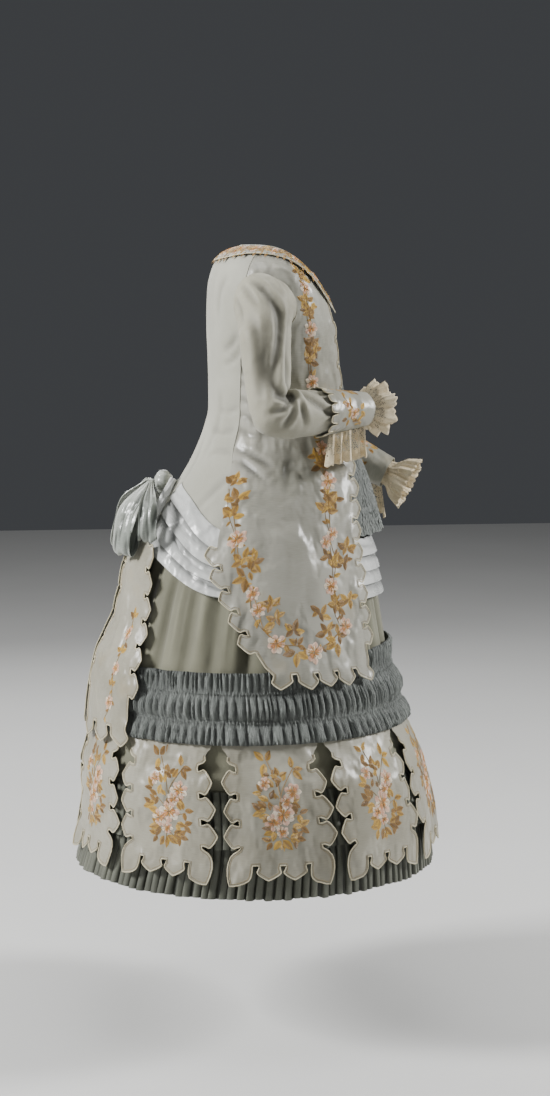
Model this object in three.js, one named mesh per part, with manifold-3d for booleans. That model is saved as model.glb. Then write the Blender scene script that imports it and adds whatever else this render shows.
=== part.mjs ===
// A bustle gown of about 1880, cut for a slight figure 1.53 m tall and standing as if it were worn.
// Units are millimetres. +Z is up, the gown faces -Y, and the wearer's right side is at -X.
// Heights in the tables are above the floor that the wearer stands on. The last group lowers everything,
// so that the origin is the middle of the shoulders, where the wearer carries the gown.
//
// Every piece is a wall of cloth worked out from one form, the outer face of the foundation:
// form(turn, height). Turn is in degrees: 0 at the centre front, 90 at the wearer's right side,
// 180 at the centre back, -90 at the left.

import * as THREE from "three";
import { mergeVertices } from "three/addons/utils/BufferGeometryUtils.js";
import Module from "manifold-3d";

const wasm = await Module();
wasm.setup();

// ---------------------------------------------------------------- driving dimensions

const SHOULDER_HEIGHT = 1236;
const HEM_HEIGHT = 268;
const CLOTH = 1.6; // thickness of most walls
const THIN = 1.4; // of pleated and gathered cloth
const RIBBON = 2;

const BAND = { top: 610, frontRise: 22, heading: 579, gather: 536, bottom: 503, waves: 40 };
const LOBE = { length: 23, notch: 0.13 }; // how far a scallop stands out, and half the slit beside it

// ---------------------------------------------------------------- the form of the foundation

// Each row is a section at its height at the back: how far it reaches to the front, the back and the side of
// the axis. square is the exponent of the outline (2 is an ellipse), and fall is how much lower its front is.
const SECTIONS = [
  { height: 1257, front: 62, back: 54, side: 56, square: 2.0, fall: 73 },
  { height: 1252, front: 68, back: 70, side: 85, square: 2.1, fall: 72 },
  { height: 1243, front: 73, back: 86, side: 114, square: 2.2, fall: 68 },
  { height: 1228, front: 77, back: 97, side: 133, square: 2.3, fall: 60 },
  { height: 1195, front: 83, back: 105, side: 143, square: 2.4, fall: 38 },
  { height: 1150, front: 90, back: 107, side: 142, square: 2.4, fall: 10 },
  { height: 1130, front: 93, back: 107, side: 138, square: 2.4, fall: 0 },
  { height: 1092, front: 98, back: 106, side: 129, square: 2.3, fall: 0 },
  { height: 1047, front: 106, back: 105.3, side: 117, square: 2.2, fall: 0 },
  { height: 1004, front: 113, back: 105.6, side: 109, square: 2.1, fall: 0 },
  { height: 976, front: 118, back: 112, side: 109, square: 2.0, fall: 0 },
  { height: 925, front: 126, back: 132, side: 123, square: 2.0, fall: 0 },
  { height: 890, front: 132, back: 152, side: 138, square: 2.0, fall: 0 },
  { height: 830, front: 143, back: 190, side: 161, square: 2.0, fall: 0 },
  { height: 775, front: 154, back: 223, side: 180, square: 2.0, fall: 0 },
  { height: 732, front: 162, back: 240, side: 192, square: 2.0, fall: 0 },
  { height: 665, front: 173, back: 261, side: 211, square: 2.0, fall: 0 },
  { height: 610, front: 182, back: 277, side: 226, square: 2.0, fall: 0 },
  { height: 534, front: 200, back: 291, side: 244, square: 2.0, fall: 0 },
  { height: 458, front: 216, back: 296, side: 257, square: 2.0, fall: 0 },
  { height: 409, front: 228, back: 297, side: 263, square: 2.0, fall: 0 },
  { height: 340, front: 244, back: 301, side: 270, square: 2.0, fall: 0 },
  { height: 268, front: 250, back: 318, side: 277, square: 2.0, fall: 0 },
];

const radians = THREE.MathUtils.degToRad;
const mix = THREE.MathUtils.lerp;
const clamp = THREE.MathUtils.clamp;

// Rises smoothly from 0 at start to 1 at end, whichever of the two is larger.
function smooth(x, start, end) {
  const t = clamp((x - start) / (end - start), 0, 1);
  return t * t * (3 - 2 * t);
}

// A smooth curve through the rows of a table, from its key column to another one, without overshoot.
function along(table, column, key = "height") {
  const rows = [...table].sort((a, b) => a[key] - b[key]);
  const slope = (k) => (rows[k + 1][column] - rows[k][column]) / (rows[k + 1][key] - rows[k][key]);
  const tangent = rows.map((row, k) => {
    if (k === 0) return slope(0);
    if (k === rows.length - 1) return slope(k - 1);
    const [before, after] = [slope(k - 1), slope(k)];
    return before * after <= 0 ? 0 : (2 * before * after) / (before + after);
  });
  return (value) => {
    const x = clamp(value, rows[0][key], rows[rows.length - 1][key]);
    let k = 0;
    while (k < rows.length - 2 && x > rows[k + 1][key]) k += 1;
    const span = rows[k + 1][key] - rows[k][key];
    const t = (x - rows[k][key]) / span;
    const [t2, t3] = [t * t, t * t * t];
    return (
      (2 * t3 - 3 * t2 + 1) * rows[k][column] +
      (t3 - 2 * t2 + t) * span * tangent[k] +
      (3 * t2 - 2 * t3) * rows[k + 1][column] +
      (t3 - t2) * span * tangent[k + 1]
    );
  };
}

const front = along(SECTIONS, "front");
const back = along(SECTIONS, "back");
const side = along(SECTIONS, "side");
const square = along(SECTIONS, "square");
const fall = along(SECTIONS, "fall");
const FALL_POWER = 3.3; // the neckline is nearly level behind, and drops at the front

function form(turn, height) {
  const angle = radians(turn);
  const [c, s] = [Math.cos(angle), Math.sin(angle)];
  const depth = (front(height) + back(height)) / 2;
  const middle = (back(height) - front(height)) / 2;
  const power = 2 / square(height);
  return new THREE.Vector3(
    -side(height) * Math.sign(s) * Math.abs(s) ** power,
    middle - depth * Math.sign(c) * Math.abs(c) ** power,
    height - fall(height) * ((1 + c) / 2) ** FALL_POWER,
  );
}

function outward(turn, height) {
  const step = { turn: 0.5, height: 1.5 };
  const around = form(turn + step.turn, height).sub(form(turn - step.turn, height));
  const up = form(turn, height + step.height).sub(form(turn, height - step.height));
  return up.cross(around).normalize();
}

// A point of a piece, standing off the form by rise, and the point behind it, at the wall's inner face.
function offForm(turn, height, rise, thickness) {
  const normal = outward(turn, height);
  const outer = form(turn, height).addScaledVector(normal, rise);
  return { outer, inner: outer.clone().addScaledVector(normal, -thickness) };
}

// Millimetres along the form's girth, as degrees of turn at a height.
const degrees = (length, height) => THREE.MathUtils.radToDeg(length / ((side(height) + back(height)) / 2));

// ---------------------------------------------------------------- cloth walls

// A piece of cloth as polygons in its own (column, row) coordinates. Corners at one spot are shared.
class Cloth {
  constructor() {
    this.spots = [];
    this.faces = [];
    this.known = new Map();
  }
  spot([column, row]) {
    const key = `${column.toFixed(4)} ${row.toFixed(4)}`;
    if (!this.known.has(key)) {
      this.known.set(key, this.spots.length);
      this.spots.push([column, row]);
    }
    return this.known.get(key);
  }
  // A polygon as a fan of triangles from its first corner.
  polygon(corners) {
    const found = corners.map((corner) => this.spot(corner));
    for (let k = 1; k < found.length - 1; k += 1) this.faces.push([found[0], found[k], found[k + 1]]);
  }
  grid(columns, rows) {
    for (let i = 0; i < columns; i += 1)
      for (let j = 0; j < rows; j += 1) {
        const crossed = (i + j) % 2 === 1;
        const corners = [[i, j], [i, j + 1], [i + 1, j + 1], [i + 1, j]];
        this.polygon(crossed ? [...corners.slice(1), corners[0]] : corners);
      }
    return this;
  }
}

// Closes the cloth into a solid. place(column, row) gives { outer, inner } for a spot.
// With around, the column after the last is the first again.
function wall(cloth, place, around = 0) {
  const wrap = (column) => (around ? column % around : column);
  const ids = new Map();
  const placed = [];
  const idOf = cloth.spots.map(([column, row]) => {
    const key = `${wrap(column).toFixed(4)} ${row.toFixed(4)}`;
    if (!ids.has(key)) {
      ids.set(key, placed.length);
      placed.push(place(wrap(column), row));
    }
    return ids.get(key);
  });
  const count = placed.length;
  const faces = cloth.faces.map((face) => face.map((spot) => idOf[spot]));
  const open = new Map();
  for (const [a, b, c] of faces)
    for (const [from, to] of [[a, b], [b, c], [c, a]]) {
      if (!open.delete(`${to} ${from}`)) open.set(`${from} ${to}`, [from, to]);
    }
  const index = [];
  for (const [a, b, c] of faces) index.push(a, b, c, c + count, b + count, a + count);
  for (const [from, to] of open.values()) index.push(to, from, from + count, to, from + count, to + count);
  const points = [...placed.map((p) => p.outer), ...placed.map((p) => p.inner)];
  return closed(points, index);
}

// A geometry from points and triangles, turned so that its faces point out.
function closed(points, index) {
  let volume = 0;
  for (let k = 0; k < index.length; k += 3) {
    const [a, b, c] = [points[index[k]], points[index[k + 1]], points[index[k + 2]]];
    volume += a.dot(b.clone().cross(c));
  }
  const turned = volume < 0 ? [...index].reverse() : index;
  const geometry = new THREE.BufferGeometry();
  geometry.setAttribute("position", new THREE.Float32BufferAttribute(points.flatMap((p) => p.toArray()), 3));
  geometry.setIndex(turned);
  return geometry;
}

// A tube or a plug through rings of points. Its wall goes in by thickness; a thickness of 0 makes it solid.
function loft(rings, thickness) {
  const count = rings[0].length;
  const middle = (ring) => ring.reduce((sum, p) => sum.add(p), new THREE.Vector3()).divideScalar(count);
  if (!thickness) {
    const points = [...rings.flat(), middle(rings[0]), middle(rings[rings.length - 1])];
    const index = [];
    const last = (rings.length - 1) * count;
    for (let i = 0; i < count; i += 1) {
      const next = (i + 1) % count;
      for (let j = 0; j < rings.length - 1; j += 1) {
        const [a, b] = [j * count, (j + 1) * count];
        index.push(a + i, b + i, b + next, a + i, b + next, a + next);
      }
      index.push(points.length - 2, i, next, points.length - 1, last + next, last + i);
    }
    return closed(points, index);
  }
  const centres = rings.map(middle);
  const place = (column, row) => {
    const outer = rings[row][column];
    const inwards = centres[row].clone().sub(outer).normalize();
    return { outer, inner: outer.clone().addScaledVector(inwards, thickness) };
  };
  return wall(new Cloth().grid(count, rings.length - 1), place, count);
}

function solidOf(geometry) {
  const bare = geometry.clone();
  for (const name of ["normal", "uv"]) bare.deleteAttribute(name);
  const merged = mergeVertices(bare, 1e-3);
  const mesh = { numProp: 3, vertProperties: merged.attributes.position.array };
  return new wasm.Manifold(new wasm.Mesh({ ...mesh, triVerts: new Uint32Array(merged.index.array) }));
}

function cut(geometry, tool) {
  const { vertProperties, triVerts } = solidOf(geometry).subtract(solidOf(tool)).getMesh();
  const result = new THREE.BufferGeometry();
  result.setAttribute("position", new THREE.Float32BufferAttribute(vertProperties, 3));
  result.setIndex([...triVerts]);
  return result;
}

// ---------------------------------------------------------------- scalloped pieces

// The outline of one scallop on an edge of unit length: along the edge, and out from it.
const SCALLOP = [
  [LOBE.notch, 0],
  [0.1, 0.7],
  [0.5, 1],
  [0.9, 0.7],
  [1 - LOBE.notch, 0],
];

// A panel of columns and rows with scallops on the cells of the sides that are asked for.
// reach(row) is a scallop's length in columns and drop in rows; corner is how far the corner ones lean out.
function scalloped({ columns, rows, low = () => false, high = () => false, reach, drop = 0, corner = 0 }) {
  const cloth = new Cloth();
  const scallops = [];
  for (let i = 0; i < columns; i += 1)
    for (let j = 0; j < rows; j += 1) {
      const lowSide = i === 0 && low(j);
      const highSide = i === columns - 1 && high(j);
      const foot = j === rows - 1 && drop > 0;
      const [near, far] = [SCALLOP[0][0], SCALLOP[SCALLOP.length - 1][0]];
      const lowEdge = lowSide ? [[i, j + near], [i, j + far]] : [];
      const footEdge = foot ? [[i + near, j + 1], [i + far, j + 1]] : [];
      const highEdge = highSide ? [[i + 1, j + far], [i + 1, j + near]] : [];
      const ring = [[i, j], ...lowEdge, [i, j + 1], ...footEdge, [i + 1, j + 1], ...highEdge, [i + 1, j]];
      // The fan starts at a corner that has no divided edge beside it.
      const start = lowSide ? ring.length - 1 : 0;
      cloth.polygon([...ring.slice(start), ...ring.slice(0, start)]);
      if (lowSide) scallops.push(SCALLOP.map(([t, out]) => [i - out * reach(j + t), j + t]).reverse());
      if (highSide) scallops.push(SCALLOP.map(([t, out]) => [i + 1 + out * reach(j + t), j + t]));
      if (foot) {
        const lean = i === 0 ? -corner : i === columns - 1 ? corner : 0;
        scallops.push(SCALLOP.map(([t, out]) => [i + t + lean * out, j + 1 + out * drop]));
      }
    }
  // The faces of a panel run from its low side down and across, so a scallop on the high side is
  // turned round.
  for (const outline of scallops) cloth.polygon(outline);
  return orient(cloth);
}

// Turns every face the same way round in (column, row) coordinates.
function orient(cloth) {
  cloth.faces = cloth.faces.map(([a, b, c]) => {
    const [p, q, r] = [a, b, c].map((spot) => cloth.spots[spot]);
    const area = (q[0] - p[0]) * (r[1] - p[1]) - (r[0] - p[0]) * (q[1] - p[1]);
    return area > 0 ? [a, b, c] : [a, c, b];
  });
  return cloth;
}

// ---------------------------------------------------------------- colours and the group

const COLOURS = {
  wool: { color: 0xb9b8ab, roughness: 0.85 },
  satin: { color: 0xc9cac6, roughness: 0.45 },
  bright_satin: { color: 0xd9dcde, roughness: 0.35 },
  gathered: { color: 0x8e9490, roughness: 0.7 },
  pleated: { color: 0x86877a, roughness: 0.75 },
  lace: { color: 0xcdbd9c, roughness: 0.9 },
};

const gown = new THREE.Group();
gown.position.z = -SHOULDER_HEIGHT;

function add(name, colour, geometry) {
  const material = new THREE.MeshStandardMaterial({ ...COLOURS[colour], metalness: 0 });
  const mesh = new THREE.Mesh(geometry, material);
  mesh.name = name;
  gown.add(mesh);
}

// A piece is worked out for the wearer's right side; sign is 1 there and -1 on the left.
const SIDES = [
  { name: "right", sign: 1 },
  { name: "left", sign: -1 },
];

// ---------------------------------------------------------------- skirt

// The foundation skirt, whose soft folds show between the hip drape and the gathered band.
const SKIRT = { folds: 18, fold: 7, tuck: 4.5 };
const SKIRT_HEIGHTS = [930, 870, 800, 742, 700, 655, 612, 540, 450, 375, 300];
// The folds grow from the band up, and end under the drape. There the skirt lies deeper, by the tuck.
const FOLDS_SHOW = { low: [580, 640], high: [700, 800], tucked: [700, 765] };
// The depth of the folds varies round the skirt.
const FOLD_SHARE = { mean: 0.55, varies: 0.45, times: 5, from: 40 };

function skirt() {
  const columns = SKIRT.folds * 2;
  const place = (column, row) => {
    const height = SKIRT_HEIGHTS[row];
    const turn = (360 * column) / columns;
    const shown = smooth(height, ...FOLDS_SHOW.low) * (1 - smooth(height, ...FOLDS_SHOW.high));
    const uneven = Math.cos(radians(turn * FOLD_SHARE.times + FOLD_SHARE.from));
    const share = FOLD_SHARE.mean + FOLD_SHARE.varies * uneven;
    const fold = column % 2 ? SKIRT.fold * shown * share : 0;
    const tucked = SKIRT.tuck * smooth(height, ...FOLDS_SHOW.tucked);
    return offForm(turn, height, -tucked - fold, RIBBON);
  };
  add("skirt", "wool", wall(new Cloth().grid(columns, SKIRT_HEIGHTS.length - 1), place, columns));
}

// The gathered band: a heading frill, a puff between two gathering lines, and a frill at the foot.
const BAND_ROWS = [
  { height: BAND.top, low: 3.5, high: 11 },
  { height: BAND.heading, low: 3.4, high: 4.6 },
  { height: (BAND.heading + BAND.gather) / 2, low: 5, high: 13 },
  { height: BAND.gather, low: 4.6, high: 6 },
  { height: BAND.bottom, low: 8.5, high: 16 },
];

function gatheredBand() {
  const columns = BAND.waves * 2;
  const place = (column, row) => {
    const { height, low, high } = BAND_ROWS[row];
    const turn = (360 * column) / columns;
    const upper = (height - BAND.gather) / (BAND.top - BAND.gather);
    // The heading climbs towards the front, from a little behind the side.
    const lift = BAND.frontRise * Math.max(0, upper) * smooth(Math.cos(radians(turn)), -0.1, 1);
    return offForm(turn, height + lift, column % 2 ? low : high, THIN);
  };
  add("gathered_band", "gathered", wall(new Cloth().grid(columns, BAND_ROWS.length - 1), place, columns));
}

// Knife pleats: a broad face, then a short return, in every pleat.
const KNIFE_PLEAT = [
  { across: 0.0, out: 0 },
  { across: 0.78, out: 1 },
];

// Each flounce by its rows: how far its pleats stand off the form at their low and high edges.
const UPPER_FLOUNCE = {
  pleats: 32,
  rows: [
    { height: 432, low: 2.8, high: 6.5 },
    { height: 345, low: 11, high: 16.2 },
  ],
};
const LOWER_FLOUNCE = {
  pleats: 64,
  rows: [
    { height: 374, low: 3.4, high: 6 },
    { height: HEM_HEIGHT, low: 3.4, high: 9.4 },
  ],
};

function flounce(name, { pleats, rows }) {
  const count = KNIFE_PLEAT.length;
  const columns = pleats * count;
  const place = (column, row) => {
    const { across, out } = KNIFE_PLEAT[column % count];
    const turn = (360 * (Math.floor(column / count) + across)) / pleats;
    const { height, low, high } = rows[row];
    return offForm(turn, height, mix(low, high, out), THIN);
  };
  add(name, "pleated", wall(new Cloth().grid(columns, rows.length - 1), place, columns));
}

// ---------------------------------------------------------------- skirt tabs

// Scalloped, embroidered tabs hang from under the band over the flounces, five on each side of the skirt.
// Their heads meet, and leave an opening like a star under them.
const TAB_TURNS = [17.6, 53, 89, 126, 162.4];
const TAB_ROWS = [
  { height: 518, half: 80, rise: 3.6 },
  { height: 490, half: 80, rise: 8.5 },
  { height: 470, half: 58, rise: 12.5 },
  { height: 434, half: 60, rise: 18.7 },
  { height: 398, half: 61, rise: 18.9 },
  { height: 360, half: 62, rise: 19.2 },
  { height: 318, half: 62, rise: 19.5 },
  { height: 280, half: 62, rise: 19.5 },
];
const TAB = { columns: 4, rows: 6, firstLobe: 2, lastLobe: 4, lobe: 21, foot: 25, corner: 0.4 };

function skirtTabs({ name, sign }) {
  const { columns, rows, firstLobe, lastLobe, lobe, foot, corner } = TAB;
  const rise = along(TAB_ROWS, "rise");
  const lobed = (j) => j >= firstLobe && j <= lastLobe;
  const footRow = TAB_ROWS[rows - 1].height - TAB_ROWS[rows].height;
  const cloth = scalloped({
    columns,
    rows,
    low: lobed,
    high: lobed,
    reach: () => (lobe * columns) / (2 * TAB_ROWS[firstLobe].half),
    drop: foot / footRow,
    corner,
  });
  TAB_TURNS.forEach((middle, k) => {
    const place = (column, row) => {
      const j = Math.min(Math.floor(row), rows - 1);
      const height = mix(TAB_ROWS[j].height, TAB_ROWS[j + 1].height, row - j);
      const half = mix(TAB_ROWS[j].half, TAB_ROWS[j + 1].half, Math.min(row - j, 1));
      const across = ((2 * column) / columns - 1) * half;
      return offForm(sign * (middle + degrees(across, height)), height, rise(height), CLOTH);
    };
    add(`skirt_tab_${name}_${k + 1}`, "satin", wall(cloth, place));
  });
}

// ---------------------------------------------------------------- bodice

// Where the seams and edges of the bodice and its long side panels run, in degrees of turn.
const SEAMS = [
  { height: 1257, frontEdge: 38, backSeam: 116 },
  { height: 1195, frontEdge: 34, backSeam: 119 },
  { height: 1092, frontEdge: 33, backSeam: 124 },
  { height: 1031, frontEdge: 33, backSeam: 127 },
  { height: 1004, frontEdge: 34, backSeam: 128 },
  { height: 951, frontEdge: 38, backSeam: 128 },
  { height: 900, frontEdge: 42.5, backSeam: 123 },
  { height: 850, frontEdge: 45, backSeam: 117.5 },
  { height: 800, frontEdge: 46, backSeam: 115 },
  { height: 760, frontEdge: 46, backSeam: 110 },
  { height: 699, frontEdge: 46.5, backSeam: 101 },
  { height: 631, frontEdge: 45.5, backSeam: 92 },
  { height: 600, frontEdge: 44.5, backSeam: 87 },
  { height: 560, frontEdge: 43.5, backSeam: 84 },
];
const frontEdge = along(SEAMS, "frontEdge");
const backSeam = along(SEAMS, "backSeam");
const SEAM_GAP = 0.35; // degrees between two pieces that are sewn edge to edge

// An armhole is an ellipse on the form. grow makes it wider.
const ARMHOLE = { turn: 104, height: 1172, halfTurn: 24, halfHeight: 44, points: 14 };

function armhole(sign, grow, rise) {
  return Array.from({ length: ARMHOLE.points }, (unused, k) => {
    const angle = (2 * Math.PI * k) / ARMHOLE.points;
    const turn = sign * (ARMHOLE.turn + ARMHOLE.halfTurn * grow * Math.cos(angle));
    const height = ARMHOLE.height + ARMHOLE.halfHeight * grow * Math.sin(angle);
    return offForm(turn, height, rise, 0).outer;
  });
}

// A plug through the bodice at the armhole, well past both faces.
const armholePlug = (sign) => loft([armhole(sign, 1, -25), armhole(sign, 1, 25)], 0);

const BODICE_HEIGHTS = [1256, 1248, 1237, 1216, 1186, 1150, 1115, 1075, 1035, 1000, 965, 930, 895];

// The back, cut in one from the neck to a point over each hip, spreading over the bustle.
const BACK = { columns: 10, extraHeights: [855, 820], rise: 2, point: 50 };

function bodiceBack() {
  const { columns } = BACK;
  const heights = [...BODICE_HEIGHTS, ...BACK.extraHeights];
  const rows = heights.length - 1;
  const place = (column, row) => {
    const across = (2 * column) / columns - 1;
    const dip = BACK.point * across ** 2 * smooth(row, rows - 3, rows);
    const height = heights[row] - dip;
    const half = 180 - backSeam(height) - SEAM_GAP;
    return offForm(180 + across * half, height, BACK.rise, CLOTH);
  };
  let geometry = wall(new Cloth().grid(columns, rows), place);
  for (const { sign } of SIDES) geometry = cut(geometry, armholePlug(sign));
  add("bodice_back", "wool", geometry);
}

// The long side panel: the bodice's front from shoulder to hip, then a free panel with a scalloped edge.
const PANEL_ROWS = [...BODICE_HEIGHTS, 862, 829, 796, 764, 732, 700, 668, 636, 606];
const PANEL = { columns: 5, firstLobe: 5, backLobe: 15, footRow: 30, corner: 0.35 };
// The scallops of the front edge grow from the first length to the full one between these rows.
const PANEL_LOBE = { first: 12, from: 8, to: 12 };

// How far the panel stands off: close on the bodice, over the drape and the band below.
const PANEL_RISE = [
  { height: 1257, body: 2, edge: 4 },
  { height: 1150, body: 2, edge: 4.4 },
  { height: 1000, body: 2, edge: 4.6 },
  { height: 965, body: 2, edge: 6.4 },
  { height: 930, body: 4, edge: 10.8 },
  { height: 895, body: 9.5, edge: 15.8 },
  { height: 850, body: 14, edge: 20 },
  { height: 700, body: 14.5, edge: 18 },
  { height: 640, body: 15.5, edge: 17 },
  { height: 580, body: 17, edge: 18 },
];

function sidePanel({ name, sign }) {
  const { columns } = PANEL;
  const rows = PANEL_ROWS.length - 1;
  const body = along(PANEL_RISE, "body");
  const edge = along(PANEL_RISE, "edge");
  const heightAt = (row) => {
    const k = Math.min(Math.floor(row), rows - 1);
    return mix(PANEL_ROWS[k], PANEL_ROWS[k + 1], row - k);
  };
  const width = (height) => backSeam(height) - frontEdge(height) - 2 * SEAM_GAP;
  const cellWidth = (row) => width(heightAt(row)) / columns;
  const lobeLength = (row) => mix(PANEL_LOBE.first, LOBE.length, smooth(row, PANEL_LOBE.from, PANEL_LOBE.to));
  const cloth = scalloped({
    columns,
    rows,
    low: (j) => j >= PANEL.firstLobe && j < rows - 1,
    high: (j) => j >= PANEL.backLobe && j < rows - 1,
    reach: (row) => degrees(lobeLength(row), heightAt(row)) / cellWidth(row),
    drop: LOBE.length / PANEL.footRow,
    corner: PANEL.corner,
  });
  const place = (column, row) => {
    const height = heightAt(row);
    const turn = frontEdge(height) + SEAM_GAP + (column / columns) * width(height);
    // The front edge lies over the gathered front; the rest of the bodice meets it edge to edge.
    const lifted = smooth(column, 0.9, 0);
    return offForm(sign * turn, height, mix(body(height), edge(height), lifted), CLOTH);
  };
  add(`side_panel_${name}`, "satin", cut(wall(cloth, place), armholePlug(sign)));
}

// The gathered front between the side panels. Below the waist it spreads into a frill over the drape.
const FRONT_ROWS = [
  { height: 1256, gather: 1, flare: 0 },
  { height: 1200, gather: 2.5, flare: 0 },
  { height: 1140, gather: 2.5, flare: 0 },
  { height: 1075, gather: 2.5, flare: 0 },
  { height: 1020, gather: 2.5, flare: 1 },
  { height: 968, gather: 2.5, flare: 5 },
  { height: 925, gather: 3, flare: 11 },
  { height: 885, gather: 4, flare: 19 },
  { height: 840, gather: 5, flare: 25 },
  { height: 803, gather: 6, flare: 28 },
];

// It stands clear of the drape, under the panels' edges, from the waist down.
const FRONT = { columns: 14, rise: 1.2, clear: 12.6, clearFrom: 960, clearTo: 880 };

function gatheredFront() {
  const { columns } = FRONT;
  const place = (column, row) => {
    const { height, gather, flare } = FRONT_ROWS[row];
    const across = (2 * column) / columns - 1;
    // 1 at the middle, and 0 at the edges, with a broad top. The gathers are flatter at the edges.
    const middle = Math.cos((Math.PI / 2) * across) ** 0.7;
    const gathered = (column % 2 ? gather : 0) * Math.min(1, 1.3 * middle);
    const under = FRONT.clear * smooth(height, FRONT.clearFrom, FRONT.clearTo);
    const rise = FRONT.rise + Math.max(under, flare * middle) - gathered;
    return offForm(across * (frontEdge(height) - SEAM_GAP), height, rise, THIN);
  };
  add("gathered_front", "gathered", wall(new Cloth().grid(columns, FRONT_ROWS.length - 1), place));
}

// ---------------------------------------------------------------- hip drape

// A pleated swathe of satin from the front, under the side panels, up to the bow at the back.
// face is the share of a pleat's depth that its broad face takes, and start is how far out it begins.
const DRAPE = { end: 166, columns: 24, pleats: 4, inner: 4.6, outer: 10.6, face: 0.8, start: 0.15 };
const DRAPE_LINE = [
  { turn: 0, middle: 752, half: 46 },
  { turn: 60, middle: 754, half: 47 },
  { turn: 112, middle: 770, half: 48 },
  { turn: 145, middle: 816, half: 48 },
  { turn: 166, middle: 840, half: 44 },
];

function hipDrape() {
  const { columns } = DRAPE;
  const rows = DRAPE.pleats * 2;
  const middle = along(DRAPE_LINE, "middle", "turn");
  const half = along(DRAPE_LINE, "half", "turn");
  const place = (column, row) => {
    const turn = DRAPE.end * ((2 * column) / columns - 1);
    const position = Math.abs(turn);
    // Each pleat is a broad face that ends in a fold over the next one.
    const share = (Math.floor(row / 2) + (row % 2 ? DRAPE.face : 0)) / DRAPE.pleats;
    const height = middle(position) + half(position) * (1 - 2 * share);
    const out = row % 2 ? DRAPE.outer : mix(DRAPE.inner, DRAPE.outer, DRAPE.start);
    return offForm(turn, height, out, CLOTH);
  };
  add("hip_drape", "bright_satin", wall(new Cloth().grid(columns, rows), place));
}

// ---------------------------------------------------------------- collar

// The collar stands at the neck, rolls over and lies on the shoulders. opening is where it ends beside
// the centre front, foot and stand are its inner edge and its top over the neck, and fall is the shares
// of its outer part.
const COLLAR = { opening: 17, columns: 26, foot: 0.4, stand: 7, fall: [0.04, 0.5, 1] };
// How far down the form its outer edge lies, and how far it stands off what is under it.
const COLLAR_EDGE = [
  { turn: 0, height: 1168, rise: 7 },
  { turn: 30, height: 1190, rise: 7.8 },
  { turn: 48, height: 1222, rise: 7.8 },
  { turn: 66, height: 1240, rise: 6.4 },
  { turn: 95, height: 1246.5, rise: 5.2 },
  { turn: 180, height: 1236, rise: 5 },
];

function collar() {
  const neck = SECTIONS[0].height;
  const edgeHeight = along(COLLAR_EDGE, "height", "turn");
  const edgeRise = along(COLLAR_EDGE, "rise", "turn");
  const { columns, opening, foot, stand, fall: shares } = COLLAR;
  const place = (column, row) => {
    const turn = mix(opening, 360 - opening, column / columns);
    const position = Math.min(turn, 360 - turn);
    const rise = edgeRise(position);
    if (row < 2) {
      // The stand goes up inside the neck, and over the top.
      const up = new THREE.Vector3(0, 0, row === 0 ? foot : stand);
      const outer = offForm(turn, neck, -1, 0).outer.add(up);
      const inwards = outer.clone().setZ(0).normalize().multiplyScalar(-CLOTH);
      return { outer, inner: outer.clone().add(inwards) };
    }
    return offForm(turn, mix(neck, edgeHeight(position), shares[row - 2]), rise, CLOTH);
  };
  add("collar", "satin", wall(new Cloth().grid(columns, shares.length + 1), place));
}

// ---------------------------------------------------------------- sleeves and cuffs

// Each arm hangs from the shoulder to the elbow, and is bent there. The forearms come forward and inwards.
const ARMS = {
  right: { shoulder: [-174, 38, 1120], elbow: [-200, 33, 1003], wrist: [-99, -128, 1006] },
  left: { shoulder: [-174, 34, 1120], elbow: [-204, 8, 992], wrist: [-120, -205, 885] },
};

// Rings of a sleeve: how far down the upper arm and along the forearm, how the ring is tilted, and its radii.
const SLEEVE_RINGS = [
  { upper: 0.0, fore: 0, tilt: 0, across: 35, deep: 40 },
  { upper: 0.5, fore: 0, tilt: 6, across: 33, deep: 35 },
  { upper: 0.8, fore: 0.01, tilt: 22, across: 34, deep: 34 },
  { upper: 0.96, fore: 0.05, tilt: 48, across: 35, deep: 38 },
  { upper: 1.0, fore: 0.17, tilt: 74, across: 35, deep: 38 },
  { upper: 1.0, fore: 0.34, tilt: 90, across: 34, deep: 36 },
  { upper: 1.0, fore: 0.62, tilt: 90, across: 30, deep: 31 },
  { upper: 1.0, fore: 0.98, tilt: 90, across: 25, deep: 24 },
];

// The arm's own directions: down the upper arm, along the forearm, across the bend, and back to the
// elbow's point.
function armFrame({ name, sign }) {
  const mirrored = ([x, y, z]) => new THREE.Vector3(sign * x, y, z);
  const [shoulder, elbow, wrist] = ["shoulder", "elbow", "wrist"].map((key) => mirrored(ARMS[name][key]));
  const down = elbow.clone().sub(shoulder).normalize();
  const forward = wrist.clone().sub(elbow);
  const across = down.clone().cross(forward).normalize().multiplyScalar(sign);
  const behind = across.clone().cross(down).multiplyScalar(-sign).normalize();
  if (behind.dot(forward) > 0) behind.negate();
  // The bend is the angle between the two, so a tilt of 90 is a ring square to the forearm.
  const bend = down.angleTo(forward);
  return { sign, shoulder, elbow, wrist, down, behind, across, bend, forward };
}

// One ring of cloth round the arm. k = 0 is at the elbow's side, and it runs towards the outer side.
function armRing(frame, { upper, fore, tilt, across, deep }, grow = 0) {
  const angle = (frame.bend * tilt) / 90;
  const centre = frame.shoulder.clone().lerp(frame.elbow, upper).addScaledVector(frame.forward, fore);
  const behind = frame.behind.clone().multiplyScalar(Math.cos(angle));
  behind.addScaledVector(frame.down, Math.sin(angle));
  return Array.from({ length: ARMHOLE.points }, (unused, k) => {
    const turn = (2 * Math.PI * k) / ARMHOLE.points;
    return centre
      .clone()
      .addScaledVector(behind, (deep + grow) * Math.cos(turn))
      .addScaledVector(frame.across, (across + grow) * Math.sin(turn));
  });
}

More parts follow.
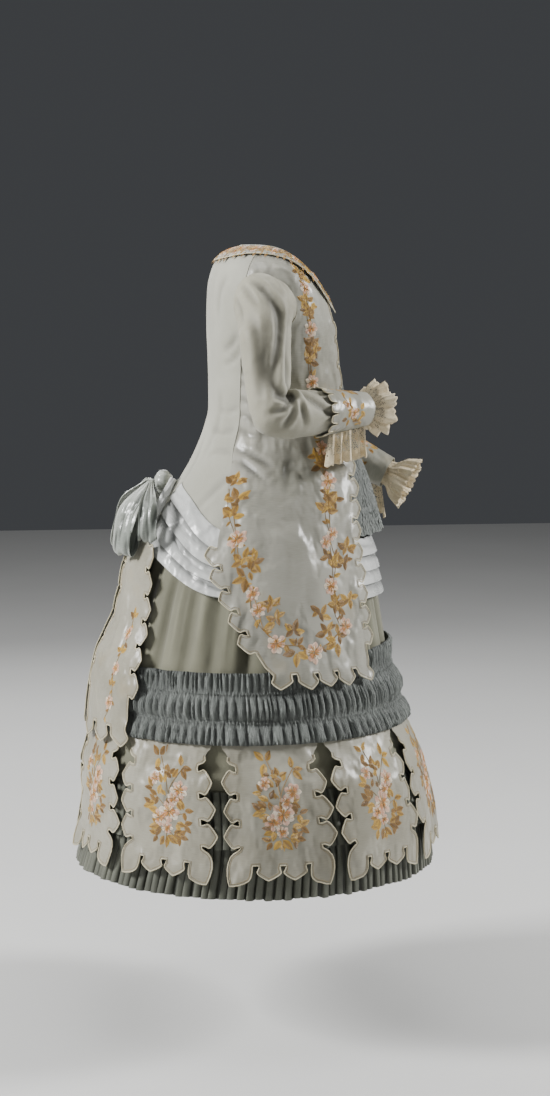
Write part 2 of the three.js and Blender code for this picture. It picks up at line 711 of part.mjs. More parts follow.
// The sleeve's head lies over the armhole's edge. The cap swells out and up between it and the arm, at
// two shares.
const SLEEVE_HEAD = { grow: 1.07, rise: 4.2, caps: [0.3, 0.68], swell: 17, slope: 44 };

function sleeve(frame, name) {
  const head = armhole(frame.sign, SLEEVE_HEAD.grow, SLEEVE_HEAD.rise);
  const first = armRing(frame, SLEEVE_RINGS[0]);
  const slope = radians(SLEEVE_HEAD.slope);
  const out = new THREE.Vector3(-frame.sign * Math.cos(slope), 0, Math.sin(slope));
  const cap = SLEEVE_HEAD.caps.map((share) =>
    head.map((point, k) => {
      const upper = Math.max(0, Math.sin((2 * Math.PI * k) / ARMHOLE.points));
      const swell = SLEEVE_HEAD.swell * Math.sin(Math.PI * share) * upper;
      return point.clone().lerp(first[k], share).addScaledVector(out, swell);
    }),
  );
  const rings = [head, ...cap, ...SLEEVE_RINGS.map((ring) => armRing(frame, ring))];
  add(`sleeve_${name}`, "wool", loft(rings, RIBBON));
}

// The cuff turns back over the sleeve, with a scallop at each of its columns. Its radii are its inner ones.
const CUFF_RINGS = [
  { fore: 1.0, across: 26, deep: 25 },
  { fore: 0.76, across: 29.8, deep: 30.2 },
  { fore: 0.56, across: 34.4, deep: 35.4 },
  { fore: 0.36, across: 39, deep: 40.6 },
];
const CUFF = { rows: 2, scallop: 0.34 };

function cuff(frame, name) {
  const columns = ARMHOLE.points;
  const cloth = scalloped({ columns, rows: CUFF.rows, reach: () => 0, drop: CUFF.scallop });
  const place = (column, row) => {
    const j = Math.floor(row);
    const [near, far] = [CUFF_RINGS[j], CUFF_RINGS[Math.min(j + 1, CUFF_RINGS.length - 1)]];
    const at = { upper: 1, tilt: 90 };
    for (const key of ["fore", "across", "deep"]) at[key] = mix(near[key], far[key], row - j);
    const k = Math.floor(column);
    const point = (grow) => {
      const ring = armRing(frame, at, grow);
      return ring[k % columns].clone().lerp(ring[(k + 1) % columns], column - k);
    };
    return { outer: point(CLOTH), inner: point(0) };
  };
  add(`cuff_${name}`, "satin", wall(cloth, place, columns));
}

// Lace: a frill that stands round the wrist, and one that hangs from the underside of the cuff.
// Its wall goes in by inset, and along the arm by a share of the forearm.
const WRIST_FRILL = { waves: 9, across: 25, deep: 24, inset: 0.7, insetAlong: 0.007 };
const WRIST_ROWS = [
  { fore: 0.95, out: -5, wave: 0 },
  { fore: 1.03, out: -3, wave: 1 },
  { fore: 1.08, out: 9, wave: 2.5 },
  { fore: 1.16, out: 17, wave: 4 },
];
// The hanging frill spreads along the arm and in its waves from its top to its foot.
const UNDER_FRILL = { from: 0.6, to: 1.0, waves: 5, rows: 2, drop: 50, spread: 0.07, gap: 0.5, half: 0.7 };
const UNDER_WAVE = { top: 2.2, foot: 5.8 };

function wristFrill(frame, name) {
  const { waves, across, deep, inset, insetAlong } = WRIST_FRILL;
  const columns = waves * 2;
  const under = forearmSide(frame);
  const place = (column, row) => {
    const { fore, out, wave } = WRIST_ROWS[row];
    const turn = (2 * Math.PI * column) / columns;
    const reach = out + (column % 2 ? wave : -wave);
    const at = (less, further) =>
      frame.elbow
        .clone()
        .addScaledVector(frame.forward, fore + further)
        .addScaledVector(under, (deep + reach - less) * Math.cos(turn))
        .addScaledVector(frame.across, (across + reach - less) * Math.sin(turn));
    return { outer: at(0, 0), inner: at(inset, insetAlong) };
  };
  add(`wrist_frill_${name}`, "lace", wall(new Cloth().grid(columns, WRIST_ROWS.length - 1), place, columns));
}

// The direction from the forearm's middle to its underside.
const forearmSide = (frame) =>
  frame.behind
    .clone()
    .multiplyScalar(Math.cos(frame.bend))
    .addScaledVector(frame.down, Math.sin(frame.bend))
    .normalize();

const cuffDepth = along(CUFF_RINGS, "deep", "fore");

function underFrill(frame, name) {
  const { from, to, waves, rows, drop, spread, gap, half } = UNDER_FRILL;
  const columns = waves * 2;
  const under = forearmSide(frame);
  const place = (column, row) => {
    const share = column / columns;
    const down = row / rows;
    const fore = mix(from, to, share) + spread * (share - 0.5) * down;
    const start = cuffDepth(Math.min(fore, 1)) + CLOTH + gap;
    const wave = (column % 2 ? 1 : -1) * mix(UNDER_WAVE.top, UNDER_WAVE.foot, down);
    const point = (shift) =>
      frame.elbow
        .clone()
        .addScaledVector(frame.forward, fore)
        .addScaledVector(under, start)
        .add(new THREE.Vector3(0, 0, -drop * down))
        .addScaledVector(frame.across, wave + shift);
    return { outer: point(half), inner: point(-half) };
  };
  add(`under_frill_${name}`, "lace", wall(new Cloth().grid(columns, rows), place));
}

// ---------------------------------------------------------------- sash panels and bow

// Two scalloped panels hang from the bow down the back of the skirt.
const SASH_ROWS = [
  { height: 790, from: 154, to: 173, rise: 15 },
  { height: 752, from: 149, to: 173, rise: 14.5 },
  { height: 714, from: 146.5, to: 172.5, rise: 9 },
  { height: 676, from: 144.5, to: 172, rise: 7.5 },
  { height: 638, from: 143, to: 172, rise: 13 },
  { height: 600, from: 142, to: 172, rise: 18 },
  { height: 558, from: 141.5, to: 172, rise: 17.5 },
  { height: 514, from: 141, to: 172, rise: 18.5 },
];

const SASH = { columns: 3, lobe: 18, footRow: 36, corner: 0.2 };

function sash({ name, sign }) {
  const { columns } = SASH;
  const rows = SASH_ROWS.length - 1;
  const at = (row, column) => {
    const k = clamp(Math.floor(row), 0, rows - 1);
    return mix(SASH_ROWS[k][column], SASH_ROWS[k + 1][column], row - k);
  };
  const cloth = scalloped({
    columns,
    rows,
    low: (j) => j < rows - 1,
    high: (j) => j < rows - 1,
    reach: (row) => (degrees(SASH.lobe, at(row, "height")) * columns) / (at(row, "to") - at(row, "from")),
    drop: LOBE.length / SASH.footRow,
    corner: SASH.corner,
  });
  const place = (column, row) => {
    const turn = mix(at(row, "from"), at(row, "to"), column / columns);
    return offForm(sign * turn, at(row, "height"), at(row, "rise"), CLOTH);
  };
  add(`sash_${name}`, "satin", wall(cloth, place));
}

// A gathered roll closes each end of the drape, from the bow's head down to the sash.
const ROLL = { sides: 8, steps: 4, radius: 6.5, endShare: 0.7, rise: 17.6 };
const ROLL_TOP = { turn: 168.5, height: 884 };
const ROLL_FOOT = { turn: 160, height: 801 };

function drapeRoll({ name, sign }) {
  const rings = Array.from({ length: ROLL.steps + 1 }, (unused, j) => {
    const share = j / ROLL.steps;
    const turn = sign * mix(ROLL_TOP.turn, ROLL_FOOT.turn, share);
    const height = mix(ROLL_TOP.height, ROLL_FOOT.height, share);
    const centre = offForm(turn, height, ROLL.rise, 0).outer;
    const beside = new THREE.Vector3(-Math.cos(radians(turn)), -Math.sin(radians(turn)), 0);
    const radius = ROLL.radius * mix(ROLL.endShare, 1, Math.sin(Math.PI * share));
    return Array.from({ length: ROLL.sides }, (alsoUnused, k) => {
      const angle = (2 * Math.PI * k) / ROLL.sides;
      return centre
        .clone()
        .addScaledVector(beside, radius * Math.cos(angle))
        .addScaledVector(outward(turn, height), radius * Math.sin(angle));
    });
  });
  add(`drape_roll_${name}`, "bright_satin", loft(rings, 0));
}

// The bow is a fan of ribbon loops round a knot. Each loop leaves the knot, swells backwards and
// returns below.
// The ribbon is narrower at the knot by rootWidth, and is spread out between the two reaches.
const BOW = { y: 193, height: 884, width: 40, steps: 12, rootWidth: 0.3, rootShift: 0.5, spreads: [6, 44] };
const BOW_LOOPS = [
  { name: "bow_loop_centre", fan: 0, shift: 0, size: 1, behind: 0 },
  { name: "bow_loop_right", fan: 34, shift: 27, size: 0.96, behind: 5 },
  { name: "bow_loop_left", fan: -34, shift: -27, size: 0.96, behind: 5 },
  { name: "bow_loop_far_right", fan: 74, shift: 67, size: 0.72, behind: 9 },
  { name: "bow_loop_far_left", fan: -74, shift: -67, size: 0.72, behind: 9 },
];
// A loop's outline, out from the knot and up from it.
const LOOP_OUTLINE = [
  [6, 2],
  [27, -11],
  [48, -31],
  [61, -58],
  [68, -88],
  [67, -106],
  [59, -112],
  [51, -104],
  [44, -84],
  [35, -60],
  [24, -36],
  [10, -16],
];

function bowLoop({ name, fan, shift, size, behind }) {
  const out = new THREE.Vector3(-Math.sin(radians(fan)), Math.cos(radians(fan)), 0);
  const beside = new THREE.Vector3(-Math.cos(radians(fan)), -Math.sin(radians(fan)), 0);
  const up = new THREE.Vector3(0, 0, 1);
  const corners = LOOP_OUTLINE.map(([x, y]) => new THREE.Vector3(x, y, 0).multiplyScalar(size));
  const outline = new THREE.CatmullRomCurve3(corners, true).getSpacedPoints(BOW.steps).slice(0, BOW.steps);
  const middle = outline.reduce((sum, p) => sum.add(p), new THREE.Vector3()).divideScalar(BOW.steps);
  const place = (column, row) => {
    const flat = outline[column];
    const inwards = middle.clone().sub(flat).normalize();
    const spread = smooth(flat.x, ...BOW.spreads);
    const across = (row - 0.5) * BOW.width * size * mix(BOW.rootWidth, 1, spread);
    const point = (inset) => {
      const { x, y } = flat.clone().addScaledVector(inwards, inset);
      return new THREE.Vector3(-shift * mix(BOW.rootShift, 1, spread), BOW.y + behind, BOW.height)
        .addScaledVector(out, x)
        .addScaledVector(beside, across)
        .addScaledVector(up, y);
    };
    return { outer: point(0), inner: point(RIBBON) };
  };
  add(name, "bright_satin", wall(new Cloth().grid(BOW.steps, 1), place, BOW.steps));
}

// The knot is drawn tight, so it is solid.
const KNOT_RINGS = [
  { height: 866, across: 7, deep: 7 },
  { height: 872, across: 12, deep: 12.5 },
  { height: 884, across: 15, deep: 16.5 },
  { height: 896, across: 12, deep: 13 },
  { height: 903, across: 6, deep: 7 },
];
const KNOT = { y: 181, sides: 10 };

function bowKnot() {
  const rings = KNOT_RINGS.map(({ height, across, deep }) =>
    Array.from({ length: KNOT.sides }, (unused, k) => {
      const angle = (2 * Math.PI * k) / KNOT.sides;
      return new THREE.Vector3(across * Math.cos(angle), KNOT.y + deep * Math.sin(angle), height);
    }),
  );
  add("bow_knot", "bright_satin", loft(rings, 0));
}

// ---------------------------------------------------------------- the whole gown

skirt();
gatheredBand();
flounce("upper_flounce", UPPER_FLOUNCE);
flounce("lower_flounce", LOWER_FLOUNCE);
SIDES.forEach(skirtTabs);
bodiceBack();
SIDES.forEach(sidePanel);
gatheredFront();
hipDrape();
collar();
for (const where of SIDES) {
  const frame = armFrame(where);
  sleeve(frame, where.name);
  cuff(frame, where.name);
  wristFrill(frame, where.name);
  underFrill(frame, where.name);
}
SIDES.forEach(sash);
SIDES.forEach(drapeRoll);
BOW_LOOPS.forEach(bowLoop);
bowKnot();

const part = new THREE.Group();
part.add(gown);
export default part;
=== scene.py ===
"""Looks of a bustle gown of about 1880: the cloth of each piece, its pleats, gathers and creases, its
embroidery, piping and lace.

Lengths are millimetres and heights are above the wearer's floor, until a mesh is made in metres in the row's
frame. Turn is in degrees: 0 at the centre front, 90 at the wearer's right side, 180 at the centre back and -90 at
the left.
"""

import math

import bpy
import numpy as np
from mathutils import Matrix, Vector
from mathutils.geometry import delaunay_2d_cdt


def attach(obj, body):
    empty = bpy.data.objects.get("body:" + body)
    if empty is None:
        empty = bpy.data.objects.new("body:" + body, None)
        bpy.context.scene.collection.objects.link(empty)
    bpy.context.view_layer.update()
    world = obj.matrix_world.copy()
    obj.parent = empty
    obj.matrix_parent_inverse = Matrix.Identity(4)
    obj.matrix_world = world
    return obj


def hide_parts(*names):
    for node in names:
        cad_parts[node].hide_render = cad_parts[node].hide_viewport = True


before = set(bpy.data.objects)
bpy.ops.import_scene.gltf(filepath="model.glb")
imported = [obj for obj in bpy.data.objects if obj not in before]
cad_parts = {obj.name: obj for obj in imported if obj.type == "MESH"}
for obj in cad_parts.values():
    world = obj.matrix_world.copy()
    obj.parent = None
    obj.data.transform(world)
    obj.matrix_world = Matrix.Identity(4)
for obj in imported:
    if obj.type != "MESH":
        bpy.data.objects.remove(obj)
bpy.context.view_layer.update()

SHOULDER_HEIGHT = 1236.0
SIDES = (("right", 1), ("left", -1))

# ---------------------------------------------------------------- curves and numbers


def mix(a, b, t):
    return a + (b - a) * t


def smooth(x, start, end):
    """From 0 at start to 1 at end, whichever is larger."""
    t = np.clip((np.asarray(x, float) - start) / (end - start), 0, 1)
    return t * t * (3 - 2 * t)


def along(rows, column, key=0):
    """A smooth curve through a table's rows, from its key column to another, without overshoot."""
    rows = np.array(sorted(rows, key=lambda row: row[key]), float)
    x, y = rows[:, key], rows[:, column]
    slope = np.diff(y) / np.diff(x)
    tangent = np.concatenate([slope[:1], np.zeros(len(x) - 2), slope[-1:]])
    for k in range(1, len(x) - 1):
        if slope[k - 1] * slope[k] > 0:
            tangent[k] = 2 * slope[k - 1] * slope[k] / (slope[k - 1] + slope[k])

    def at(value):
        value = np.clip(value, x[0], x[-1])
        k = np.clip(np.searchsorted(x, value, side="right") - 1, 0, len(x) - 2)
        span = x[k + 1] - x[k]
        t = (value - x[k]) / span
        t2, t3 = t * t, t * t * t
        start = (2 * t3 - 3 * t2 + 1) * y[k] + (t3 - 2 * t2 + t) * span * tangent[k]
        return start + (3 * t2 - 2 * t3) * y[k + 1] + (t3 - t2) * span * tangent[k + 1]

    return at


def straight(rows, column, key=0):
    """Straight lines through a table's rows, from its key column to another."""
    rows = np.array(sorted(rows, key=lambda row: row[key]), float)
    return lambda value: np.interp(value, rows[:, key], rows[:, column])


def stops(*spans):
    """Numbers in spans of (first, last, how many)."""
    return np.concatenate([np.linspace(*span) for span in spans])


def crest(share):
    """0 at both ends of a cell and 1 in its middle."""
    return 0.5 - 0.5 * np.cos(2 * np.pi * share)


def trough(share):
    """1 at both ends of a cell and 0 in its middle."""
    return 0.5 + 0.5 * np.cos(2 * np.pi * share)


def spline(before, a, b, after, u):
    """The smooth way from a to b, led by the points before and after them."""
    square_part, cube_part = 2 * before - 5 * a + 4 * b - after, 3 * a - before - 3 * b + after
    return 0.5 * (2 * a + (b - before) * u + square_part * u**2 + cube_part * u**3)


def polar(reach, degrees):
    """Across and up of a place that is reach away, degrees clockwise from up."""
    return reach * math.sin(math.radians(degrees)), reach * math.cos(math.radians(degrees))


def uneven(position, count, seed, spread=0.35):
    """Splits 0 to 1 into count uneven cells. Gives how far into its cell each position is, and its size."""
    random = np.random.default_rng(seed)
    edges = np.cumsum(1 + spread * random.uniform(-1, 1, count))
    edges = np.concatenate([[0], edges / edges[-1]])
    size = random.uniform(0.55, 1, count)
    cell = np.clip(np.searchsorted(edges, position, side="right") - 1, 0, count - 1)
    return (position - edges[cell]) / (edges[cell + 1] - edges[cell]), size[cell]


def wander(position, seed, waves=5, slowest=1):
    """A soft random line from -1 to 1 that closes on itself over 0 to 1."""
    random = np.random.default_rng(seed)
    total = 0
    for k in range(slowest, slowest + waves):
        total = total + random.uniform(0.4, 1) * np.sin(2 * np.pi * (k * position + random.uniform()))
    return total / (0.7 * waves)


# ---------------------------------------------------------------- the form under the cloth

# height at the back, reach to the front, back and side, outline exponent, how much lower the front is
SECTIONS = (
    (1257, 62, 54, 56, 2.0, 73), (1252, 68, 70, 85, 2.1, 72), (1243, 73, 86, 114, 2.2, 68),
    (1228, 77, 97, 133, 2.3, 60), (1195, 83, 105, 143, 2.4, 38), (1150, 90, 107, 142, 2.4, 10),
    (1130, 93, 107, 138, 2.4, 0), (1092, 98, 106, 129, 2.3, 0), (1047, 106, 105.3, 117, 2.2, 0),
    (1004, 113, 105.6, 109, 2.1, 0), (976, 118, 112, 109, 2.0, 0), (925, 126, 132, 123, 2.0, 0),
    (890, 132, 152, 138, 2.0, 0), (830, 143, 190, 161, 2.0, 0), (775, 154, 223, 180, 2.0, 0),
    (732, 162, 240, 192, 2.0, 0), (665, 173, 261, 211, 2.0, 0), (610, 182, 277, 226, 2.0, 0),
    (534, 200, 291, 244, 2.0, 0), (458, 216, 296, 257, 2.0, 0), (409, 228, 297, 263, 2.0, 0),
    (340, 244, 301, 270, 2.0, 0), (268, 250, 318, 277, 2.0, 0),
)
front, back, side, square, fall = (along(SECTIONS, k) for k in range(1, 6))
NECK = SECTIONS[0][0]


def form(turn, height):
    """Points of the form that the cloth hangs on."""
    turn, height = np.broadcast_arrays(np.asarray(turn, float), np.asarray(height, float))
    c, s = np.cos(np.radians(turn)), np.sin(np.radians(turn))
    power = 2 / square(height)
    x = -side(height) * np.sign(s) * np.abs(s) ** power
    middle, depth = (back(height) - front(height)) / 2, (back(height) + front(height)) / 2
    y = middle - depth * np.sign(c) * np.abs(c) ** power
    return np.stack([x, y, height - fall(height) * ((1 + c) / 2) ** 3.3], -1)


def unit(vectors):
    return vectors / np.maximum(np.linalg.norm(vectors, axis=-1, keepdims=True), 1e-9)


def outward(turn, height):
    """Directions straight out from the form."""
    around = form(np.add(turn, 0.5), height) - form(np.subtract(turn, 0.5), height)
    up = form(turn, np.add(height, 1.5)) - form(turn, np.subtract(height, 1.5))
    return unit(np.cross(up, around))


def off_form(turn, height, rise):
    """Points that stand rise millimetres off the form."""
    return form(turn, height) + outward(turn, height) * np.asarray(rise, float)[..., None]


def from_front(turn):
    """Degrees from the centre front, on either side."""
    return np.abs((turn + 180) % 360 - 180)


def mm_per_degree(height):
    """Millimetres round the form for a degree of turn."""
    return np.radians((side(height) + back(height)) / 2)


# ---------------------------------------------------------------- meshes


def flat_faces(faces):
    """Quads and triangles as one array of triangles."""
    faces = np.asarray(faces)
    if faces.shape[1] == 3:
        return faces
    return np.concatenate([faces[:, [0, 1, 2]], faces[:, [0, 2, 3]]])


def normals_of(points, faces):
    tri = flat_faces(faces)
    a, b, c = points[tri[:, 0]], points[tri[:, 1]], points[tri[:, 2]]
    face = np.cross(b - a, c - a)
    total = np.zeros_like(points)
    for k in range(3):
        np.add.at(total, tri[:, k], face)
    return unit(total)


def grid_faces(columns, rows, around=False):
    """Quads of a grid of points, columns wide and rows deep. With around, its last column meets its first."""
    i = np.arange(columns if around else columns - 1)[:, None]
    j = np.arange(rows - 1)[None, :]
    nxt = (i + 1) % columns
    quads = np.stack([i * rows + j, i * rows + j + 1, nxt * rows + j + 1, nxt * rows + j], -1)
    return quads.reshape(-1, 4)


def tube_faces(rings, sides, closed=False):
    """Quads of a tube of rings, each of so many sides. With closed, its last ring meets its first."""
    i = np.arange(rings if closed else rings - 1)[:, None]
    k = np.arange(sides)[None, :]
    nxt, beyond = (i + 1) % rings, (k + 1) % sides
    quads = np.stack([i * sides + k, i * sides + beyond, nxt * sides + beyond, nxt * sides + k], -1)
    return quads.reshape(-1, 4)


def capped(quads, first, last, middles):
    """A tube's triangles, closed at its first and last rings by the two points numbered middles."""
    near = np.stack([np.full(len(first), middles[0]), np.roll(first, -1), first], -1)
    far = np.stack([np.full(len(last), middles[1]), last, np.roll(last, -1)], -1)
    return np.concatenate([flat_faces(quads), near, far])


def kept(points, faces, keep):
    """The faces to keep, and the points that they use."""
    used, faces = np.unique(faces[keep], return_inverse=True)
    return points[used], faces.reshape(-1, 3)


def shell(points, faces, thickness):
    """A closed wall whose outer side is these faces."""
    count = len(points)
    inner = points - normals_of(points, faces) * thickness
    sides = faces.shape[1]
    edges = np.concatenate([faces[:, [k, (k + 1) % sides]] for k in range(sides)])
    forward, backward = edges[:, 0] * count + edges[:, 1], edges[:, 1] * count + edges[:, 0]
    rim = edges[~np.isin(forward, backward)]
    rim_faces = np.stack([rim[:, 1], rim[:, 0], rim[:, 0] + count, rim[:, 1] + count], -1)
    return np.concatenate([points, inner]), [faces, faces[:, ::-1] + count, rim_faces]


def make(name, points, face_sets, materials, cut, picks=None, sharp=55, hollow=None):
    """A mesh object from points in millimetres. cut is each point's place on the flat cloth, the last argument
    how deep it lies in a fold, from 0 to 1, which the materials darken as painted shade, and picks the material
    of each face."""
    mesh = bpy.data.meshes.new(name)
    placed = (points - [0, 0, SHOULDER_HEIGHT]) / 1000
    mesh.from_pydata(placed.tolist(), [], [face for faces in face_sets for face in faces.tolist()])
    for material in materials:
        mesh.materials.append(material)
    if picks is not None:
        mesh.polygons.foreach_set("material_index", np.asarray(picks, np.int32))
    layer = mesh.attributes.new("cut", "FLOAT_VECTOR", "POINT")
    layer.data.foreach_set("vector", np.asarray(cut, np.float32).ravel())
    if hollow is not None:
        layer = mesh.attributes.new("hollow", "FLOAT", "POINT")
        layer.data.foreach_set("value", np.asarray(hollow, np.float32).ravel())
    mesh.polygons.foreach_set("use_smooth", np.ones(len(mesh.polygons), bool))
    mesh.update()
    mesh.set_sharp_from_angle(angle=math.radians(sharp))
    piece = bpy.data.objects.new(name, mesh)
    bpy.context.scene.collection.objects.link(piece)
    return piece


def turned_out(points, faces, towards):
    """The faces, the other way round if they look against the directions towards."""
    agree = (normals_of(points, faces) * towards).sum()
    return faces if agree >= 0 else faces[:, ::-1]


def cloth(name, points, faces, towards, material, slot, cut, thickness=1.2, sharp=55, hollow=None):
    """A piece of cloth as a closed wall that stands for its node and rides with the gown."""
    walls, face_sets = shell(points, turned_out(points, faces, towards), thickness)
    # How strongly each point is darkened as painted shade in folds; both sides of the wall get the same.
    fold_darkening = np.zeros(len(points)) if hollow is None else np.clip(np.ravel(hollow), 0, 1)
    both_sides = np.concatenate([cut, cut])
    piece = make(f"{name}_cloth", walls, face_sets, [material], both_sides, sharp=sharp, hollow=np.tile(fold_darkening, 2))
    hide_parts(name)
    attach(piece, "root")


def cut_place(across, up):
    """Places on the flat cloth."""
    return np.stack([across, up, np.zeros_like(across)], -1)


def draped(name, turn, height, rise, flat, material, slot, around=False, facing=None, **looks):
    """Cloth on a grid of turns and heights over the form. flat is its places across and up the flat cloth, and
    facing the heights that it looks away from, if they aren't its own."""
    points = off_form(turn, height, rise).reshape(-1, 3)
    towards = outward(turn, height if facing is None else facing).reshape(-1, 3)
    faces = grid_faces(*turn.shape, around)
    cloth(name, points, faces, towards, material, slot, cut_place(*map(np.ravel, flat)), **looks)


def laid(name, spots, faces, surface, zero, material, slot, sign=1, lines=None):
    """Cloth of small triangles over spots of (turn, height). zero is the turn of its middle, and lines are its
    creases, in which the cloth is darkened as painted shade."""
    turn, height = spots.T
    points, facing = surface(turn, height, np.zeros(len(turn))), outward(turn, height)
    flat = cut_place((sign * turn - zero) * mm_per_degree(height), height)
    # Painted shade along the creases, by their depth.
    fold_darkening = None if lines is None else -creases(points, facing, lines) / DARKEST_DEPTH
    cloth(name, points, faces, facing, material, slot, flat, hollow=fold_darkening)


# ---------------------------------------------------------------- creases

# Painted shade: a crease this deep darkens the cloth fully.
DARKEST_DEPTH = 3.6  # how deep in a crease the cloth is darkest


def through(points, count):
    """A smooth line through points, with count points spread evenly over it."""
    points = np.asarray(points, float)
    t = np.linspace(0, len(points) - 1, count)
    k = np.clip(t.astype(int), 0, len(points) - 2)
    u = (t - k)[:, None]
    before, after = points[np.maximum(k - 1, 0)], points[np.minimum(k + 2, len(points) - 1)]
    return spline(before, points[k], points[k + 1], after, u)


def creases(points, normals, lines):
    """How far each point moves out for soft creases. A line is (points in space, depth, width): a trough with a
    low ridge beside it."""
    total = np.zeros(len(points))
    for where, depth, width in lines:
        line = through(where, 5 * len(where))
        low, high = line.min(0) - 4 * width, line.max(0) + 4 * width
        near = np.flatnonzero(((points > low) & (points < high)).all(1))
        if not len(near):
            continue
        best = np.full(len(near), np.inf)
        side_of, share = np.zeros(len(near)), np.zeros(len(near))
        for k in range(len(line) - 1):
            step = line[k + 1] - line[k]
            offset = points[near] - line[k]
            t = np.clip(offset @ step / (step @ step), 0, 1)
            away = offset - t[:, None] * step
            distance = np.linalg.norm(away, axis=1)
            closer = distance < best
            best = np.where(closer, distance, best)
            turned = (np.cross(step, away) * normals[near]).sum(1)
            side_of = np.where(closer, np.sign(turned), side_of)
            share = np.where(closer, (k + t) / (len(line) - 1), share)
        d = best * side_of / width
        fade = np.sin(np.pi * np.clip(share, 0.02, 0.98)) ** 0.7
        total[near] += depth * fade * (0.5 * np.exp(-((d - 1.7) ** 2)) - np.exp(-(d**2)))
    return total


def on_form(pairs, sign=1):
    """Points of (turn, height) in space, just off the form."""
    pairs = np.asarray(pairs, float)
    return off_form(sign * pairs[:, 0], pairs[:, 1], np.full(len(pairs), 3.0))


# ---------------------------------------------------------------- scalloped outlines and flat patches

# One scallop on an edge of unit length: along the edge, and out from it.
HALF_SCALLOP = (
    (0.11, 0), (0.11, 0.16), (0.085, 0.3), (0.05, 0.42), (0.065, 0.52), (0.12, 0.62), (0.2, 0.72), (0.3, 0.83),
    (0.4, 0.925), (0.47, 0.985),
)
SCALLOP = HALF_SCALLOP + ((0.5, 1.0),) + tuple((1 - t, out) for t, out in reversed(HALF_SCALLOP))

FLAT_SCALE = 2.6  # millimetres for a degree of turn, where a patch is divided into triangles
ROW_STEP = 0.87  # between rows of triangles, for a side of 1
PANEL_SPACING, TAB_SPACING, PLAIN_SPACING = 4.6, 5.5, 6  # a triangle's side


def inside(points, outline):
    """Which points lie inside a closed outline."""
    x, y = points[:, 0], points[:, 1]
    result = np.zeros(len(points), bool)
    ends = np.roll(outline, -1, axis=0)
    for (x0, y0), (x1, y1) in zip(outline, ends):
        if y0 == y1:
            continue
        crosses = (y0 > y) != (y1 > y)
        result ^= crosses & (x < (x1 - x0) * (y - y0) / (y1 - y0) + x0)
    return result


def patch(outline, spacing, holes=()):
    """The points and small triangles of the cloth inside an outline of (turn, height), and outside its holes."""
    scale = np.array([FLAT_SCALE, 1])
    outline = np.asarray(outline, float) * scale
    low, high = outline.min(0), outline.max(0)
    xs = np.arange(low[0], high[0] + spacing, spacing)
    ys = np.arange(low[1], high[1] + spacing, spacing * ROW_STEP)
    gx, gy = np.meshgrid(xs, ys)
    gx = gx + (np.arange(len(ys)) % 2)[:, None] * spacing / 2
    inner = np.stack([gx.ravel(), gy.ravel()], -1)
    inner = inner[inside(inner, outline)]
    close = np.zeros(len(inner), bool)
    for x, y in outline:
        close |= (inner[:, 0] - x) ** 2 + (inner[:, 1] - y) ** 2 < (0.5 * spacing) ** 2
    edges = [(k, (k + 1) % len(outline)) for k in range(len(outline))]
    spots = [Vector(p) for p in np.concatenate([outline, inner[~close]]).tolist()]
    points, _, faces, _, _, _ = delaunay_2d_cdt(spots, edges, [], 0, 1e-4)
    points, faces = np.array([tuple(p) for p in points]), np.array([f for f in faces if len(f) == 3])
    points, faces = kept(points, faces, inside(points[faces].mean(1), outline))
    points = points / scale
    for hole in holes:
        points, faces = kept(points, faces, ~inside(points[faces].mean(1), hole))
    return points, faces


# ---------------------------------------------------------------- embroidery and piping

GOLD, BRONZE, PINK, ROSE, ORANGE, STEM, CREAM, EDGE, BRAID = range(9)
PIPING, BRAID_RADIUS = 1.0, 0.42
PIPING_INSET = 3.2  # from a piece's edge to the line of stitching inside it
SLIM = 4.5  # leaves and petals narrower than this need fewer points


def set_in(outline, depth, girth):
    """How far each point of an outline of (turn, height) moves to lie depth millimetres inside it."""
    scale = np.stack([girth(outline[:, 1]), np.ones(len(outline))], -1)
    flat = outline * scale
    along_edge = unit(np.roll(flat, -1, 0) - np.roll(flat, 1, 0))
    beside = np.stack([-along_edge[:, 1], along_edge[:, 0]], -1)
    area = (flat[:, 0] * np.roll(flat[:, 1], -1) - np.roll(flat[:, 0], -1) * flat[:, 1]).sum()
    return beside * depth * np.sign(area) / scale


